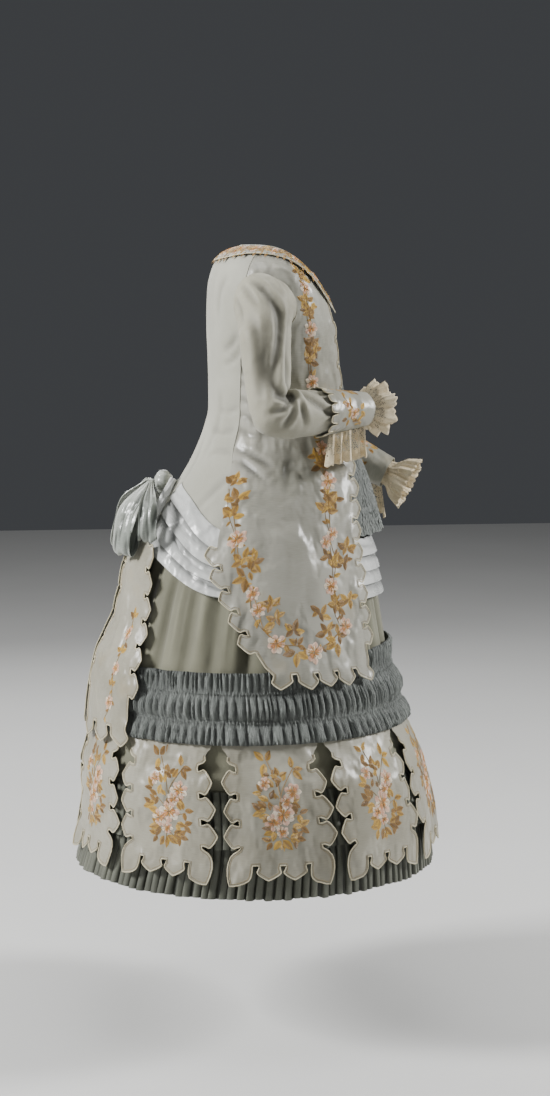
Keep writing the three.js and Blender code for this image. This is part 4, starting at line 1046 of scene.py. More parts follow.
# Creases of the bodice's back on the right: (turn, height) points, depth and width
BACK_CREASES = (
    (((126, 1126), (134, 1108), (144, 1100)), 2.4, 6),
    (((124, 1100), (133, 1084), (145, 1078)), 2.0, 5),
    (((128, 1010), (140, 1002), (152, 1004)), 1.7, 5),
    (((130, 975), (143, 968), (158, 972)), 1.8, 6),
    (((127, 935), (140, 940), (152, 930)), 1.4, 6),
    (((150, 1040), (152, 980), (158, 920)), 1.2, 8),
    (((122, 905), (131, 880), (138, 850)), 1.5, 7),
    (((168, 960), (166, 920), (167, 880)), 1.2, 7),
    (((140, 1215), (150, 1190), (152, 1150)), 1.5, 9),
)
LEFT_SHIFT = (3.0, -9.0)  # creases on the left lie a little elsewhere


def mirrored(rows, sign):
    """Rows of creases for one side as lines in space."""
    if sign > 0:
        return [(on_form(pairs), depth, width) for pairs, depth, width in rows]
    moved = []
    for k, (pairs, depth, width) in enumerate(rows):
        shifted = [(turn + LEFT_SHIFT[0] * (-1) ** k, height + LEFT_SHIFT[1]) for turn, height in pairs]
        moved.append((on_form(shifted, -1), depth * (0.8 + 0.1 * (k % 4)), width))
    return moved


BACK_LINES = mirrored(BACK_CREASES, 1) + mirrored(BACK_CREASES, -1)


def bodice_back():
    """The back of the bodice, whose foot ends in a point over each hip."""
    heights = BODICE_HEIGHTS + (855, 820)
    last = len(heights) - 1

    def edge(across, rows):
        level = np.interp(rows, np.arange(last + 1), heights) - 50 * across**2 * smooth(rows, last - 3, last)
        return np.stack([180 + across * (180 - back_seam(level) - SEAM_GAP), level], -1)

    rows = np.linspace(0, last, 120)
    across = np.linspace(-1, 1, 90)
    low, high = edge(np.full(120, -1.0), rows), edge(np.full(120, 1.0), rows)
    top, foot = edge(across, np.zeros(90)), edge(across, np.full(90, float(last)))
    outline = np.concatenate([high, foot[::-1][1:], low[::-1][1:], top[1:-1]])

    def surface(turn, height, lift):
        around = np.where(turn < 0, turn + 360, turn)
        seam = -0.8 * np.exp(-(((around - 180) * mm_per_degree(height) / 1.8) ** 2))
        base, normal = off_form(turn, height, 2 + seam), outward(turn, height)
        return base + normal * (creases(base, normal, BACK_LINES) + lift)[..., None]

    holes = (armhole_outline(1), armhole_outline(-1) + [360, 0])
    laid("bodice_back", *patch(outline, PLAIN_SPACING, holes), surface, 180, WOOL, "wool", lines=BACK_LINES)


# Creases of the side panel: underarm wrinkles, and slanting folds above the hip
PANEL_CREASES = (
    (((124, 1112), (115, 1100), (103, 1094)), 4.0, 4.5),
    (((125, 1094), (116, 1082), (104, 1080)), 4.2, 4.5),
    (((126, 1072), (117, 1062), (104, 1064)), 4.0, 4.5),
    (((126, 1050), (116, 1044), (102, 1048)), 3.6, 4.5),
    (((127, 1026), (116, 1018), (100, 1024)), 3.8, 5),
    (((127, 1000), (114, 992), (96, 998)), 3.8, 5),
    (((127, 976), (114, 966), (98, 968)), 3.2, 5),
    (((126, 945), (112, 934), (96, 914)), 4.6, 6),
    (((121, 926), (108, 908), (94, 884)), 4.6, 6),
    (((120, 902), (110, 882), (98, 852)), 4.0, 6),
    (((116, 872), (106, 848), (98, 816)), 2.4, 7),
    (((90, 960), (84, 900), (88, 850)), 2.2, 9),
    (((80, 940), (77, 890), (74, 850), (76, 800)), 2.0, 9),
    (((98, 842), (92, 800), (90, 750)), 1.8, 11),
    (((86, 830), (80, 780), (80, 720)), 1.8, 11),
    (((74, 1012), (74, 960), (70, 915)), 2.0, 8),
    (((88, 1020), (84, 985), (80, 950)), 2.0, 8),
    (((54, 1000), (56, 965), (54, 930)), 1.4, 8),
    (((72, 770), (72, 730), (70, 690)), 1.6, 11),
    (((50, 830), (49, 780), (50, 730)), 1.4, 9),
)

# The garland on a side panel: roses, and leaf clusters with the way that they point, as (turn, height)
GARLAND_ROSES = (
    (106, 806, 16), (95.5, 727, 12), (93, 702, 12), (85.5, 652, 16), (70.5, 636, 17), (55.5, 671, 15),
    (61, 734, 15), (62.5, 800, 11), (58.5, 812, 11), (59, 892, 16), (61, 944, 13), (67.5, 1050, 13),
    (66.5, 1134, 15), (68, 1208, 13),
)
GARLAND_LEAVES = (
    (118, 888, 0), (112.5, 862, 20), (112, 838, -10), (101, 776, 60), (97, 772, -70), (99, 752, 120),
    (88, 706, 10), (85.5, 684, 50), (79, 668, -20), (77.5, 640, 170), (64, 664, 40), (60, 650, 120),
    (66.5, 690, -30), (59, 700, -60), (53, 706, 30), (53.5, 762, 20), (51.5, 784, -10), (60, 768, -50),
    (62, 846, -20), (57, 856, 40), (61, 868, -70), (66, 926, -60), (62, 918, 40), (67.5, 968, -20),
    (62, 985, 30), (66, 1014, 0), (70, 1082, -40), (64.5, 1090, 50), (67, 1106, 0), (70, 1160, -50),
    (64, 1166, 40), (67, 1182, 10), (71, 1228, -30),
)
GARLAND_STEMS = (
    ((119, 880), (113, 850), (108, 815), (102, 775), (97, 735), (93, 700), (89, 668), (82, 650)),
    ((84, 650), (77, 648), (70, 638), (63, 650), (57, 668)),
    ((57, 672), (58, 705), (60, 735), (57, 770), (60, 806), (60, 850), (59.5, 892)),
    ((59.5, 892), (63, 925), (62, 945), (65, 985), (67.5, 1030), (67.5, 1052)),
    ((67.5, 1052), (68, 1090), (66.5, 1134), (67.5, 1172), (68, 1208), (70, 1232)),
)


FOOT_LOBES, LOBE_DROP, SMALL_LOBE = 5, 23, 12
FIRST_FRONT_LOBE, FIRST_BACK_LOBE = 5, 15  # rows where the scallops start on a panel's front and back edge
PANEL_TOP = 1256.0


def side_panel(side_name, sign):
    """The side of the bodice, which hangs free below the hip, with scallops and a garland."""
    name, count = f"side_panel_{side_name}", len(PANEL_HEIGHTS) - 1
    random = np.random.default_rng(90 + (sign < 0))

    def level(row):
        return np.interp(row, np.arange(count + 1), PANEL_HEIGHTS)

    def width(height):
        return back_seam(height) - front_edge(height) - 2 * SEAM_GAP

    def edge(share, height):
        return front_edge(height) + SEAM_GAP + share * width(height), height

    def lobes(row, share, outwards):
        result = []
        size = mix(SMALL_LOBE, LOBE_DROP, smooth(row + 0.5, 8, 12)) * random.uniform(0.93, 1.05)
        for t, out in SCALLOP:
            turn, height = edge(share, level(row + t))
            result.append((turn + outwards * size * out / mm_per_degree(height), height))
        return result

    low = PANEL_HEIGHTS[-1]
    top_front = [edge(0.0, level(row)) for row in np.linspace(0, FIRST_FRONT_LOBE, 30)]
    front_lobes = [spot for row in range(FIRST_FRONT_LOBE, count - 1) for spot in lobes(row, 0.0, -1)]
    corners = [[edge(share, level(count - 1)), edge(share, low + 12)] for share in (0.0, 1.0)]
    foot = []
    for i in range(FOOT_LOBES):
        lean = {0: -0.35, FOOT_LOBES - 1: 0.35}.get(i, 0)
        drop = LOBE_DROP * random.uniform(0.94, 1.05)
        foot += [edge((i + t + lean * out) / FOOT_LOBES, low - drop * out) for t, out in SCALLOP]
    back_rows = range(count - 2, FIRST_BACK_LOBE - 1, -1)
    back_lobes = [spot for row in back_rows for spot in reversed(lobes(row, 1.0, 1))]
    piped = top_front + front_lobes + corners[0] + foot + corners[1][::-1] + back_lobes
    seam = [edge(1.0, level(row)) for row in np.linspace(FIRST_BACK_LOBE, 0, 90)]
    top = [edge(share, PANEL_TOP) for share in np.linspace(0.97, 0.03, 26)]
    outline = np.array(piped + seam + top, float)
    lines = mirrored(PANEL_CREASES, sign)

    def surface(turn, height, lift):
        position = sign * turn
        column = 5 * (position - front_edge(height) - SEAM_GAP) / width(height)
        free = smooth(height, 820, 700)
        wave = 1.5 * free * np.sin(position * mm_per_degree(height) / 26 + 0.6)
        wave = wave + 0.9 * free * np.sin(height / 31 + position / 9)
        rise = mix(panel_body(height), panel_edge(height), smooth(column, 0.9, 0)) + wave
        base, normal = off_form(turn, height, rise), outward(turn, height)
        return base + normal * (creases(base, normal, lines) + lift)[..., None]

    spots, faces = patch(outline, PANEL_SPACING, [armhole_outline(1)])
    laid(name, spots * [sign, 1], faces, surface, 80, SATIN, "satin", sign, lines)
    trim = Trim(surface, sign)
    trim.piping(outline, slice(len(piped)), sign)
    for line in GARLAND_STEMS:
        wavy = through(line, 7 * len(line))
        first = [(sign * (t + 0.5 * math.sin(h / 17)), h) for t, h in wavy]
        second = [(sign * (t + 1.3 + 1.2 * math.sin(h / 12)), h) for t, h in wavy]
        trim.stem(first)
        trim.stem(second, radius=0.45, colour=BRONZE)
        trim.trail(first, 17, 12, random)
        trim.trail(second, 21, 9, random)
    for turn, height, direction in GARLAND_LEAVES:
        spot = (sign * turn, height)
        trim.sprig(spot, (direction - 62, direction, direction + 62), 19, random, GOLD)
        near = trim.beside(spot, random.uniform(-5, 5), random.uniform(6, 10))
        trim.sprig(near, (direction + 150, direction - 120, direction + 85), 14, random, BRONZE)
    for turn, height, size in GARLAND_ROSES:
        trim.rose((sign * turn, height), size, random)
    trim.finish(name)


# height, gather depth, flare
FRONT_ROWS = (
    (1256, 1, 0), (1200, 2.5, 0), (1140, 2.5, 0), (1075, 2.5, 0), (1020, 2.5, 1), (968, 2.5, 5), (925, 3, 11),
    (885, 4, 19), (840, 5, 25), (803, 6, 28),
)


def gathered_front():
    """The gathered silk between the side panels, which spreads below the waist."""
    gather, flare = along(FRONT_ROWS, 1), along(FRONT_ROWS, 2)
    heights = stops((1256, 960, 48), (955, 803, 30))
    across, height = np.meshgrid(np.linspace(-1, 1, 160), heights, indexing="ij")
    middle = np.maximum(np.cos(np.pi / 2 * across), 0) ** 0.7
    under = 12.6 * smooth(height, 960, 880)
    slip = 0.012 * np.sin(height / 11 + 9 * across) + 0.01 * wander(across / 2 + 0.5, 31) * np.sin(height / 37)
    position = np.clip(across / 2 + 0.5 + slip, 0, 0.9999)
    share, size = uneven(position, 34, 32, spread=0.4)
    wave = crest(share) * size
    knots = 0.6 + 0.4 * np.sin(height / 8.5 + 14 * across + 3 * np.sin(across * 9))
    depth = gather(height) * np.minimum(1, 1.3 * middle)
    lobes, lobe_size = uneven(position, 9, 33, spread=0.3)
    flared = crest(lobes) * lobe_size * smooth(height, 900, 805) * 3.5 * middle
    rise = 1.2 + np.maximum(under, flare(height) * middle) - depth * (1 - wave) * knots - flared
    turn = across * (front_edge(height) - SEAM_GAP)
    foot = 5 * wander(across / 2 + 0.5, 34, waves=9, slowest=4) * smooth(height, 840, 803)
    # Painted shade in the valleys between gathers.
    looks = {"thickness": 0.9, "sharp": 80, "hollow": 0.8 * (1 - wave)}
    spot, rise = height + foot, np.maximum(rise, 0.8)
    draped("gathered_front", turn, spot, rise, (across * 110, height), GATHERED, "gathered", False, height,
           **looks)


# ---------------------------------------------------------------- hip drape

# turn, height of its middle, half its depth
DRAPE_LINE = ((0, 752, 46), (60, 754, 47), (112, 770, 48), (145, 816, 48), (166, 840, 44))
DRAPE_END, DRAPE_PLEATS = 166, 4
DRAPE_LOW, DRAPE_HIGH = 3.8, 11.0  # how far a pleat stands off where it is tucked under and at its fold
# How far down a pleat its rows of points lie
PLEAT_ROWS = np.array([0, 0.05, 0.13, 0.23, 0.34, 0.45, 0.56, 0.67, 0.78, 0.87, 0.93, 0.97, 0.99])


def hip_drape():
    """Four soft pleats of satin, each folded over the next one below, with painted shadow under each fold."""
    middle, half = along(DRAPE_LINE, 1), along(DRAPE_LINE, 2)
    turns = np.linspace(-DRAPE_END, DRAPE_END, 240)
    place = np.append(np.concatenate([PLEAT_ROWS + k for k in range(DRAPE_PLEATS)]), DRAPE_PLEATS)
    turn, row = np.meshgrid(turns, place, indexing="ij")
    pleat = np.minimum(np.floor(row), DRAPE_PLEATS - 1)
    within = row - pleat
    position = (turn + DRAPE_END) / (2 * DRAPE_END)
    sway = np.zeros_like(turn)
    for k in range(1, DRAPE_PLEATS):
        line = 0.16 * wander(position, 60 + k, waves=4)
        sway = sway + line * np.exp(-(((row - k) / 0.5) ** 2))
    hang = 0.2 * smooth(within, 0.5, 0.97) * (within < 1) * (pleat < DRAPE_PLEATS - 1)
    height = middle(np.abs(turn)) + half(np.abs(turn)) * (1 - 2 * (row + sway + hang) / DRAPE_PLEATS)
    lip = np.where(within < 0.98, np.clip(within / 0.97, 0, 1) ** 0.75, 0.55)
    lip = np.where(within >= 1, 0, lip)
    depth = 0.84 + 0.16 * wander(position + 0.13 * pleat, 65, waves=6)
    pull = np.sin(np.pi * np.clip(within, 0, 1))
    bend = within - 0.42 - 0.22 * np.sin(turn / 12 + 2 * pleat)
    bends = np.clip(np.sin(turn / 23 + pleat), 0, 1)
    rippled = np.clip(np.sin(turn / 17 + 2 * pleat), 0, 1)
    fine = 1.2 * np.sin(turn / 3.7 + 2.3 * pleat + within * 4) * rippled * pull
    fine = fine - 2.8 * np.exp(-((bend / 0.07) ** 2)) * bends * pull
    rise = np.clip(mix(DRAPE_LOW, DRAPE_HIGH, mix(0.05, 1, lip) * depth) + fine, 3.6, 11.2)
    # Painted shadow under the lip of each pleat above, and painted shade along the bends.
    bent = np.exp(-((bend / 0.09) ** 2)) * bends * pull
    shaded = (pleat > 0) & (within < 0.97)
    fold_darkening = np.clip(1.2 - within / 0.55, 0, 1) * shaded + 0.6 * bent
    flat = (turn * mm_per_degree(790), row * 38)
    draped("hip_drape", turn, height, rise, flat, BRIGHT_SATIN, "bright_satin", sharp=70, hollow=fold_darkening)


# ---------------------------------------------------------------- collar

# turn, height of its edge, rise of its edge
COLLAR_EDGE = ((0, 1168, 7), (30, 1190, 7.8), (48, 1222, 7.8), (66, 1240, 6.4), (95, 1246.5, 5.2), (180, 1236, 5))
COLLAR_OPENING, COLLAR_STAND = 17, 7  # degrees from the centre front, and millimetres above the neck
COLLAR_SHARES = (0.04, 0.15, 0.3, 0.45, 0.6, 0.75, 0.9, 1.0)  # of the way from the fold to its edge


def collar():
    """A collar that stands at the neck, turns over and lies on the shoulders."""
    edge_height, edge_rise = along(COLLAR_EDGE, 1), along(COLLAR_EDGE, 2)

    def fallen(turn, share, lift=0.0):
        position = from_front(turn)
        wave = 0.5 * np.sin(turn / 9) * share
        return off_form(turn, mix(NECK, edge_height(position), share), edge_rise(position) + wave + lift)

    turns = np.linspace(COLLAR_OPENING, 360 - COLLAR_OPENING, 170)
    top = off_form(turns, NECK, np.full(len(turns), -1.0))
    stand, roll = top + [0, 0, COLLAR_STAND - 2], top + [0, 0, COLLAR_STAND]
    first = fallen(turns, np.full(len(turns), 0.04))
    rings = [top + [0, 0, 0.4], stand]
    for t in (0.25, 0.5, 0.75):
        bend = mix(roll, first, t)
        bend[:, 2] = mix(roll[:, 2], first[:, 2], t**1.8)
        rings.append(bend)
    for share in COLLAR_SHARES:
        rings.append(fallen(turns, np.full(len(turns), share)))
    points = np.stack(rings, 1)
    flat_points = points.reshape(-1, 3)
    faces = grid_faces(len(turns), len(rings))
    normals = normals_of(flat_points, faces)
    lower = (normals.reshape(len(turns), len(rings), 3)[:, 8:] * outward(turns, NECK - 9)[:, None]).sum()
    if lower < 0:
        faces = faces[:, ::-1]
        normals = -normals
    flat = cut_place(np.repeat(turns * 1.4, len(rings)), np.tile(np.arange(len(rings)) * 4.0, len(turns)))
    cloth("collar", flat_points, faces, normals, SATIN, "satin", flat, thickness=1.1)

    def surface(turn, height, lift):
        return fallen(turn, (NECK - height) / (NECK - edge_height(from_front(turn))), lift)

    random = np.random.default_rng(70)
    trim = Trim(surface)
    trim.tube(turns, edge_height(from_front(turns)), 0.9, EDGE, lift=0.0)
    for k, turn in enumerate(np.arange(COLLAR_OPENING + 4, 360 - COLLAR_OPENING - 3, 6)):
        reach = NECK - float(edge_height(from_front(turn)))
        spot = (turn, NECK - (0.55 + 0.1 * (-1) ** k) * reach)
        scale = min(1.0, reach / 24)
        if k % 4 == 1:
            trim.rose(spot, 8 * scale + 1.5, random)
        else:
            trim.sprig(spot, (-60, 0, 60, 180), 12 * scale + 2.5, random, GOLD if k % 2 else BRONZE)
    line = np.linspace(COLLAR_OPENING + 3, 360 - COLLAR_OPENING - 3, 160)
    reach = NECK - edge_height(from_front(line))
    trim.tube(line, NECK - (0.55 + 0.14 * np.sin(line / 3)) * reach, 0.4, GOLD)
    trim.finish("collar")


# ---------------------------------------------------------------- sleeves, cuffs and lace

# shoulder, elbow and wrist, with x as for the right arm
ARMS = {
    "right": ((-174, 38, 1120), (-200, 33, 1003), (-99, -128, 1006)),
    "left": ((-174, 34, 1120), (-204, 8, 992), (-120, -205, 885)),
}
# how far down the upper arm and along the forearm, degrees of tilt, half its width and half its depth
SLEEVE_RINGS = (
    (0.0, 0, 0, 35, 40), (0.5, 0, 6, 33, 35), (0.8, 0.01, 22, 34, 34), (0.96, 0.05, 48, 35, 38),
    (1.0, 0.17, 74, 35, 38), (1.0, 0.34, 90, 34, 36), (1.0, 0.62, 90, 30, 31), (1.0, 0.98, 90, 25, 24),
)


def oval(centre, deep, across, turn, under, side_on):
    """Points round an oval, which reaches deep towards under and across towards side_on."""
    return centre + (deep * np.cos(turn))[..., None] * under + (across * np.sin(turn))[..., None] * side_on


HEAD_GROWTH = 1.07  # the sleeve's head laps over the armhole's edge
HEAD_TILT = math.radians(44)


class Arm:
    """The directions of one arm, and rings of cloth round it."""

    def __init__(self, name, sign):
        self.name, self.sign = name, sign
        mirror = np.array([sign, 1, 1])
        self.shoulder, self.elbow, wrist = (np.array(p, float) * mirror for p in ARMS[name])
        self.down = unit(self.elbow - self.shoulder)
        self.forward = wrist - self.elbow
        self.across = unit(np.cross(self.down, self.forward)) * sign
        behind = unit(-np.cross(self.across, self.down) * sign)
        self.behind = -behind if behind @ self.forward > 0 else behind
        self.bend = math.acos(self.down @ unit(self.forward))
        self.under = unit(self.behind * math.cos(self.bend) + self.down * math.sin(self.bend))

    def ring(self, row, turn):
        upper, fore, tilt, across, deep = row
        angle = self.bend * tilt / 90
        centre = mix(self.shoulder, self.elbow, upper) + self.forward * fore
        behind = self.behind * math.cos(angle) + self.down * math.sin(angle)
        return oval(centre, deep, across, turn, behind, self.across)

    def head(self, turn):
        return off_form(*armhole(self.sign, turn, HEAD_GROWTH), np.full(len(turn), 4.2))

    def rings(self, turn):
        """The sleeve's rings from its head to the wrist."""
        head, first = self.head(turn), self.ring(SLEEVE_RINGS[0], turn)
        out = np.array([-self.sign * math.cos(HEAD_TILT), 0, math.sin(HEAD_TILT)])
        caps = []
        for share in (0.3, 0.68):
            swell = 17 * math.sin(math.pi * share) * np.maximum(0, np.sin(turn))
            caps.append(mix(head, first, share) + swell[:, None] * out)
        return np.stack([head, *caps, first, *(self.ring(row, turn) for row in SLEEVE_RINGS[1:])])

    def sleeve_at(self, place, turn):
        """Points of the plain sleeve: place is the ring's number, and turn the angle round it."""
        shape = np.shape(place)
        place, turn = np.ravel(place), np.ravel(turn)
        rings = self.rings(turn)
        k = np.clip(place.astype(int), 0, len(rings) - 2)
        u = (place - k)[:, None]
        at = np.arange(len(turn))
        before, after = rings[np.maximum(k - 1, 0), at], rings[np.minimum(k + 2, len(rings) - 1), at]
        return spline(before, rings[k, at], rings[k + 1, at], after, u).reshape(*shape, 3)


# Creases of a sleeve: (ring number, degrees round it) points, depth and width. Ring 0 is the head, 3 the arm's
# start, 6 the elbow and 10 the wrist. 59 degrees is the middle of the outer side, 180 the inside of the elbow.
SLEEVE_CREASES = (
    (((0.5, 60), (1.2, 80), (2.1, 100), (3.0, 94), (3.7, 74), (4.4, 68), (5.4, 98)), 10, 9),
    (((1.6, 134), (2.6, 128), (3.5, 116), (4.5, 122), (5.3, 146)), 6.5, 8),
    (((2.0, 34), (3.0, 40), (4.0, 36), (4.8, 30)), 4.0, 9),
    (((2.4, 66), (3.1, 62), (3.7, 52), (4.3, 50)), 4.5, 7),
    (((0.3, 84), (0.9, 104), (1.6, 120)), 3.6, 6),
    (((0.3, 40), (1.0, 46), (1.8, 56)), 3.4, 6),
    (((0.3, 12), (1.2, 16), (2.2, 10)), 2.8, 6),
    (((5.5, 172), (5.4, 130), (5.1, 92), (4.7, 62)), 7.5, 6),
    (((5.8, 172), (5.8, 126), (5.7, 82), (5.4, 40)), 7.5, 5.5),
    (((6.1, 172), (6.3, 126), (6.4, 82), (6.4, 40)), 7.0, 5.5),
    (((6.4, 172), (6.8, 126), (7.2, 88), (7.5, 52)), 6.0, 5.5),
    (((7.2, 164), (7.8, 122), (8.4, 88), (8.9, 62)), 5.0, 5.5),
    (((8.2, 160), (8.7, 114), (9.0, 72)), 3.4, 5),
    (((5.4, -178), (5.6, -130), (5.5, -80), (5.3, -30)), 4.2, 6),
    (((6.1, -178), (6.3, -130), (6.4, -80), (6.3, -30)), 4.2, 6),
    (((7.0, -176), (7.5, -130), (8.0, -90)), 3.2, 6),
    (((2.2, -60), (3.4, -70), (4.6, -60)), 2.8, 8),
    (((2.4, -120), (3.4, -126), (4.8, -140)), 3.2, 8),
    (((8.2, -150), (8.7, -110), (9.0, -70)), 2.2, 6),
)
DEEPEST_CREASE = 8.5


def sleeve(arm):
    """A sleeve with creases where it bends, and a seam behind."""
    places = stops((0, 3, 34), (3.07, 7, 66), (7.08, 10, 28))
    angles = np.radians(np.arange(0, 360, 4.0))
    place, turn = np.meshgrid(places, angles, indexing="ij")
    points = arm.sleeve_at(place, turn).reshape(-1, 3)
    faces = grid_faces(len(angles), len(places), True)
    order = np.arange(len(points)).reshape(len(places), len(angles)).T.ravel()
    points = points[order]
    centres = points.reshape(len(angles), len(places), 3).mean(0)
    towards = points - np.tile(centres, (len(angles), 1))
    faces = turned_out(points, faces, towards)
    normals = normals_of(points, faces)
    lines = []
    for k, (pairs, depth, width) in enumerate(SLEEVE_CREASES):
        shift = (0, 0) if arm.sign > 0 else (0.12 * (-1) ** k, 9)
        spots = np.array([(place + shift[0], angle + shift[1]) for place, angle in pairs], float)
        lines.append((arm.sleeve_at(spots[:, 0], np.radians(spots[:, 1])), depth, width))
    reach = np.tile(smooth(places, 0, 0.5) * smooth(places, 10, 9.4), len(angles))
    moved = creases(points, normals, lines) * reach
    moved = np.where(moved < 0, DEEPEST_CREASE * np.tanh(moved / DEEPEST_CREASE), moved)
    fine = 0.35 * np.tile(np.sin(places * 7), len(angles)) * np.repeat(np.sin(angles * 3 + 1), len(places))
    fine = fine * reach
    seam = -0.7 * np.exp(-((np.repeat(angles, len(places)) - np.radians(200)) / 0.05) ** 2)
    points = points + normals * (moved + fine + seam)[:, None]
    lengths = np.concatenate([[0], np.cumsum(np.linalg.norm(np.diff(centres, axis=0), axis=1))])
    flat = cut_place(np.repeat(angles * 34, len(places)), np.tile(lengths, len(angles)))
    # Painted shade in the troughs of the creases.
    fold_darkening = -moved / 5.5
    cloth(f"sleeve_{arm.name}", points, faces, towards, SHADED_SLEEVE_WOOL, "wool", flat, 1.4, hollow=fold_darkening)


# how far along the forearm, half its width and half its depth
CUFF_RINGS = ((1.0, 26, 25), (0.76, 29.8, 30.2), (0.56, 34.4, 35.4), (0.36, 39, 40.6))
CUFF_SCALLOPS, CUFF_SCALLOP, CUFF_THICKNESS = 14, 0.34, 1.6
# How far out the cuff's edge is, along one scallop
CUFF_EDGE = (
    (0, 0), (0.1, 0.02), (0.125, 0.6), (0.2, 0.85), (0.32, 0.94), (0.5, 1),
    (0.68, 0.94), (0.8, 0.85), (0.875, 0.6), (0.9, 0.02), (1, 0),
)
CUFF_SCALE = 45.0  # millimetres of cuff for one ring
cuff_deep = along(CUFF_RINGS, 2)


def cuff(arm):
    """A turned-back satin cuff with a scalloped edge, and a spray of leaves on each side."""
    fore, across, deep = np.array(CUFF_RINGS, float).T
    steps = np.arange(len(CUFF_RINGS))

    def surface(turn, place, lift):
        f, a, d = (np.interp(place, steps, column) for column in (fore, across, deep))
        grow = CUFF_THICKNESS + 0.5 * np.sin(turn * 5 + place * 2) + lift
        return oval(arm.elbow + f[:, None] * arm.forward, d + grow, a + grow, turn, arm.under, arm.across)

    columns, rows = CUFF_SCALLOPS * 14, 16
    turns = 2 * np.pi * np.arange(columns) / columns
    cell = (turns / (2 * np.pi) * CUFF_SCALLOPS) % 1
    edge = 2 + CUFF_SCALLOP * np.interp(cell, *zip(*CUFF_EDGE))
    place = edge[:, None] * np.linspace(0, 1, rows)[None, :] ** 0.9
    turn = np.repeat(turns[:, None], rows, 1)
    points = surface(turn.ravel(), place.ravel(), np.zeros(turn.size))
    centres = arm.elbow + np.interp(place.ravel(), steps, fore)[:, None] * arm.forward
    flat = cut_place(turn.ravel() * 34, place.ravel() * CUFF_SCALE)
    faces = grid_faces(columns, rows, True)
    cloth(f"cuff_{arm.name}", points, faces, points - centres, SATIN, "satin", flat, thickness=1.1)

    random = np.random.default_rng(80 + (arm.sign < 0))

    def on_cuff(angle, height, lift):
        return surface(np.radians(angle), np.clip(height / CUFF_SCALE, 0, 2.36), lift)

    trim = Trim(on_cuff, girth=lambda height: np.full(np.shape(height), 0.62))
    trim.tube(np.degrees(turns), edge * CUFF_SCALE, 0.9, EDGE, closed=True)
    trim.tube(np.degrees(turns), edge * CUFF_SCALE - 3, BRAID_RADIUS, BRAID, lift=0.05, closed=True)
    for angle in (75, 180, 285):
        line = through([(angle - 46, 26), (angle - 18, 40), (angle + 14, 52), (angle + 46, 66)], 30)
        trim.stem(line, radius=0.5)
        trim.trail(line, 9, 14, random)
        trim.rose((angle, 47.0), 11, random)
        trim.rose((angle + 22, 62.0), 8, random)
        for x, y in ((-26, -14), (26, 8), (6, -15), (-14, 16)):
            trim.sprig((angle + x, 47 + y), (0, 120, 240), 13, random)
    trim.finish(f"cuff_{arm.name}")


# how far along the forearm, how far out from the wrist, and how deep its waves are
FRILL_ROWS = ((0.95, -5, 0), (1.03, -3, 1), (1.08, 9, 2.5), (1.16, 17, 4))
FRILL_WAVES, WRIST_DEEP, WRIST_ACROSS = 9, 24, 25
UNDER_DROP = 50  # how far the lace hangs under the cuff


def wrist_frill(arm):
    """A frill of lace round the wrist, with a scalloped edge."""
    columns, rows = FRILL_WAVES * 24, 18
    turns = 2 * np.pi * np.arange(columns) / columns
    turn, place = np.meshgrid(turns, np.linspace(0, 3, rows), indexing="ij")
    fore, out, wave = (np.interp(place, np.arange(4), column) for column in np.array(FRILL_ROWS, float).T)
    ripple = -np.cos(FRILL_WAVES * turn + 0.9 * np.sin(2 * turn)) * 1.0
    ripple = ripple + 0.35 * np.sin(27 * turn + 4 * wander(turn / (2 * np.pi), 51))
    fore = fore + 0.012 * np.abs(np.sin(13.5 * turn)) * smooth(place, 2.2, 3)
    reach = out + wave * ripple * 1.15
    centre = arm.elbow + fore[..., None] * arm.forward
    points = oval(centre, WRIST_DEEP + reach, WRIST_ACROSS + reach, turn, arm.under, arm.across).reshape(-1, 3)
    flat = np.stack([(turn * 46).ravel(), (place * 17).ravel(), (place / 3).ravel()], -1)
    faces, towards = grid_faces(columns, rows, True), points - (arm.elbow + arm.forward * 1.0)
    cloth(f"wrist_frill_{arm.name}", points, faces, towards, LACE, "lace", flat, 0.5, sharp=180)


def under_frill(arm):
    """Lace that hangs from under the cuff in loose waves."""
    columns, rows = 110, 22
    share, down = np.meshgrid(np.linspace(0, 1, columns), np.linspace(0, 1, rows), indexing="ij")
    fore = mix(0.6, 1.0, share) + 0.07 * (share - 0.5) * down
    start = cuff_deep(np.minimum(fore, 1)) + CUFF_THICKNESS + 0.5
    ripple = np.cos(2 * np.pi * 5 * share + 0.9 * np.sin(7 * share))
    ripple = ripple + 0.22 * np.sin(2 * np.pi * 13 * share + 3 * down)
    aside = -ripple * mix(2.2, 6.0, down)
    centre = arm.elbow + fore[..., None] * arm.forward
    points = centre + start[..., None] * arm.under + aside[..., None] * arm.across
    points[..., 2] -= UNDER_DROP * down * (0.93 + 0.07 * np.abs(np.sin(2 * np.pi * 7 * share)))
    points = points.reshape(-1, 3)
    flat = np.stack([(share * 95).ravel(), (down * UNDER_DROP).ravel(), down.ravel()], -1)
    faces, towards = grid_faces(columns, rows), np.repeat(arm.across[None], len(points), 0)
    cloth(f"under_frill_{arm.name}", points, faces, towards, LACE, "lace", flat, 0.5, sharp=180)


# ---------------------------------------------------------------- sash, rolls and bow

# height, the turns of its two edges, and how far it stands off
SASH_ROWS = (
    (790, 154, 173, 15), (752, 149, 173, 14.5), (714, 146.5, 172.5, 9), (676, 144.5, 172, 7.5),
    (638, 143, 172, 13), (600, 142, 172, 18), (558, 141.5, 172, 17.5), (514, 141, 172, 18.5),
)
sash_from, sash_to, sash_rise = straight(SASH_ROWS, 1), straight(SASH_ROWS, 2), along(SASH_ROWS, 3)


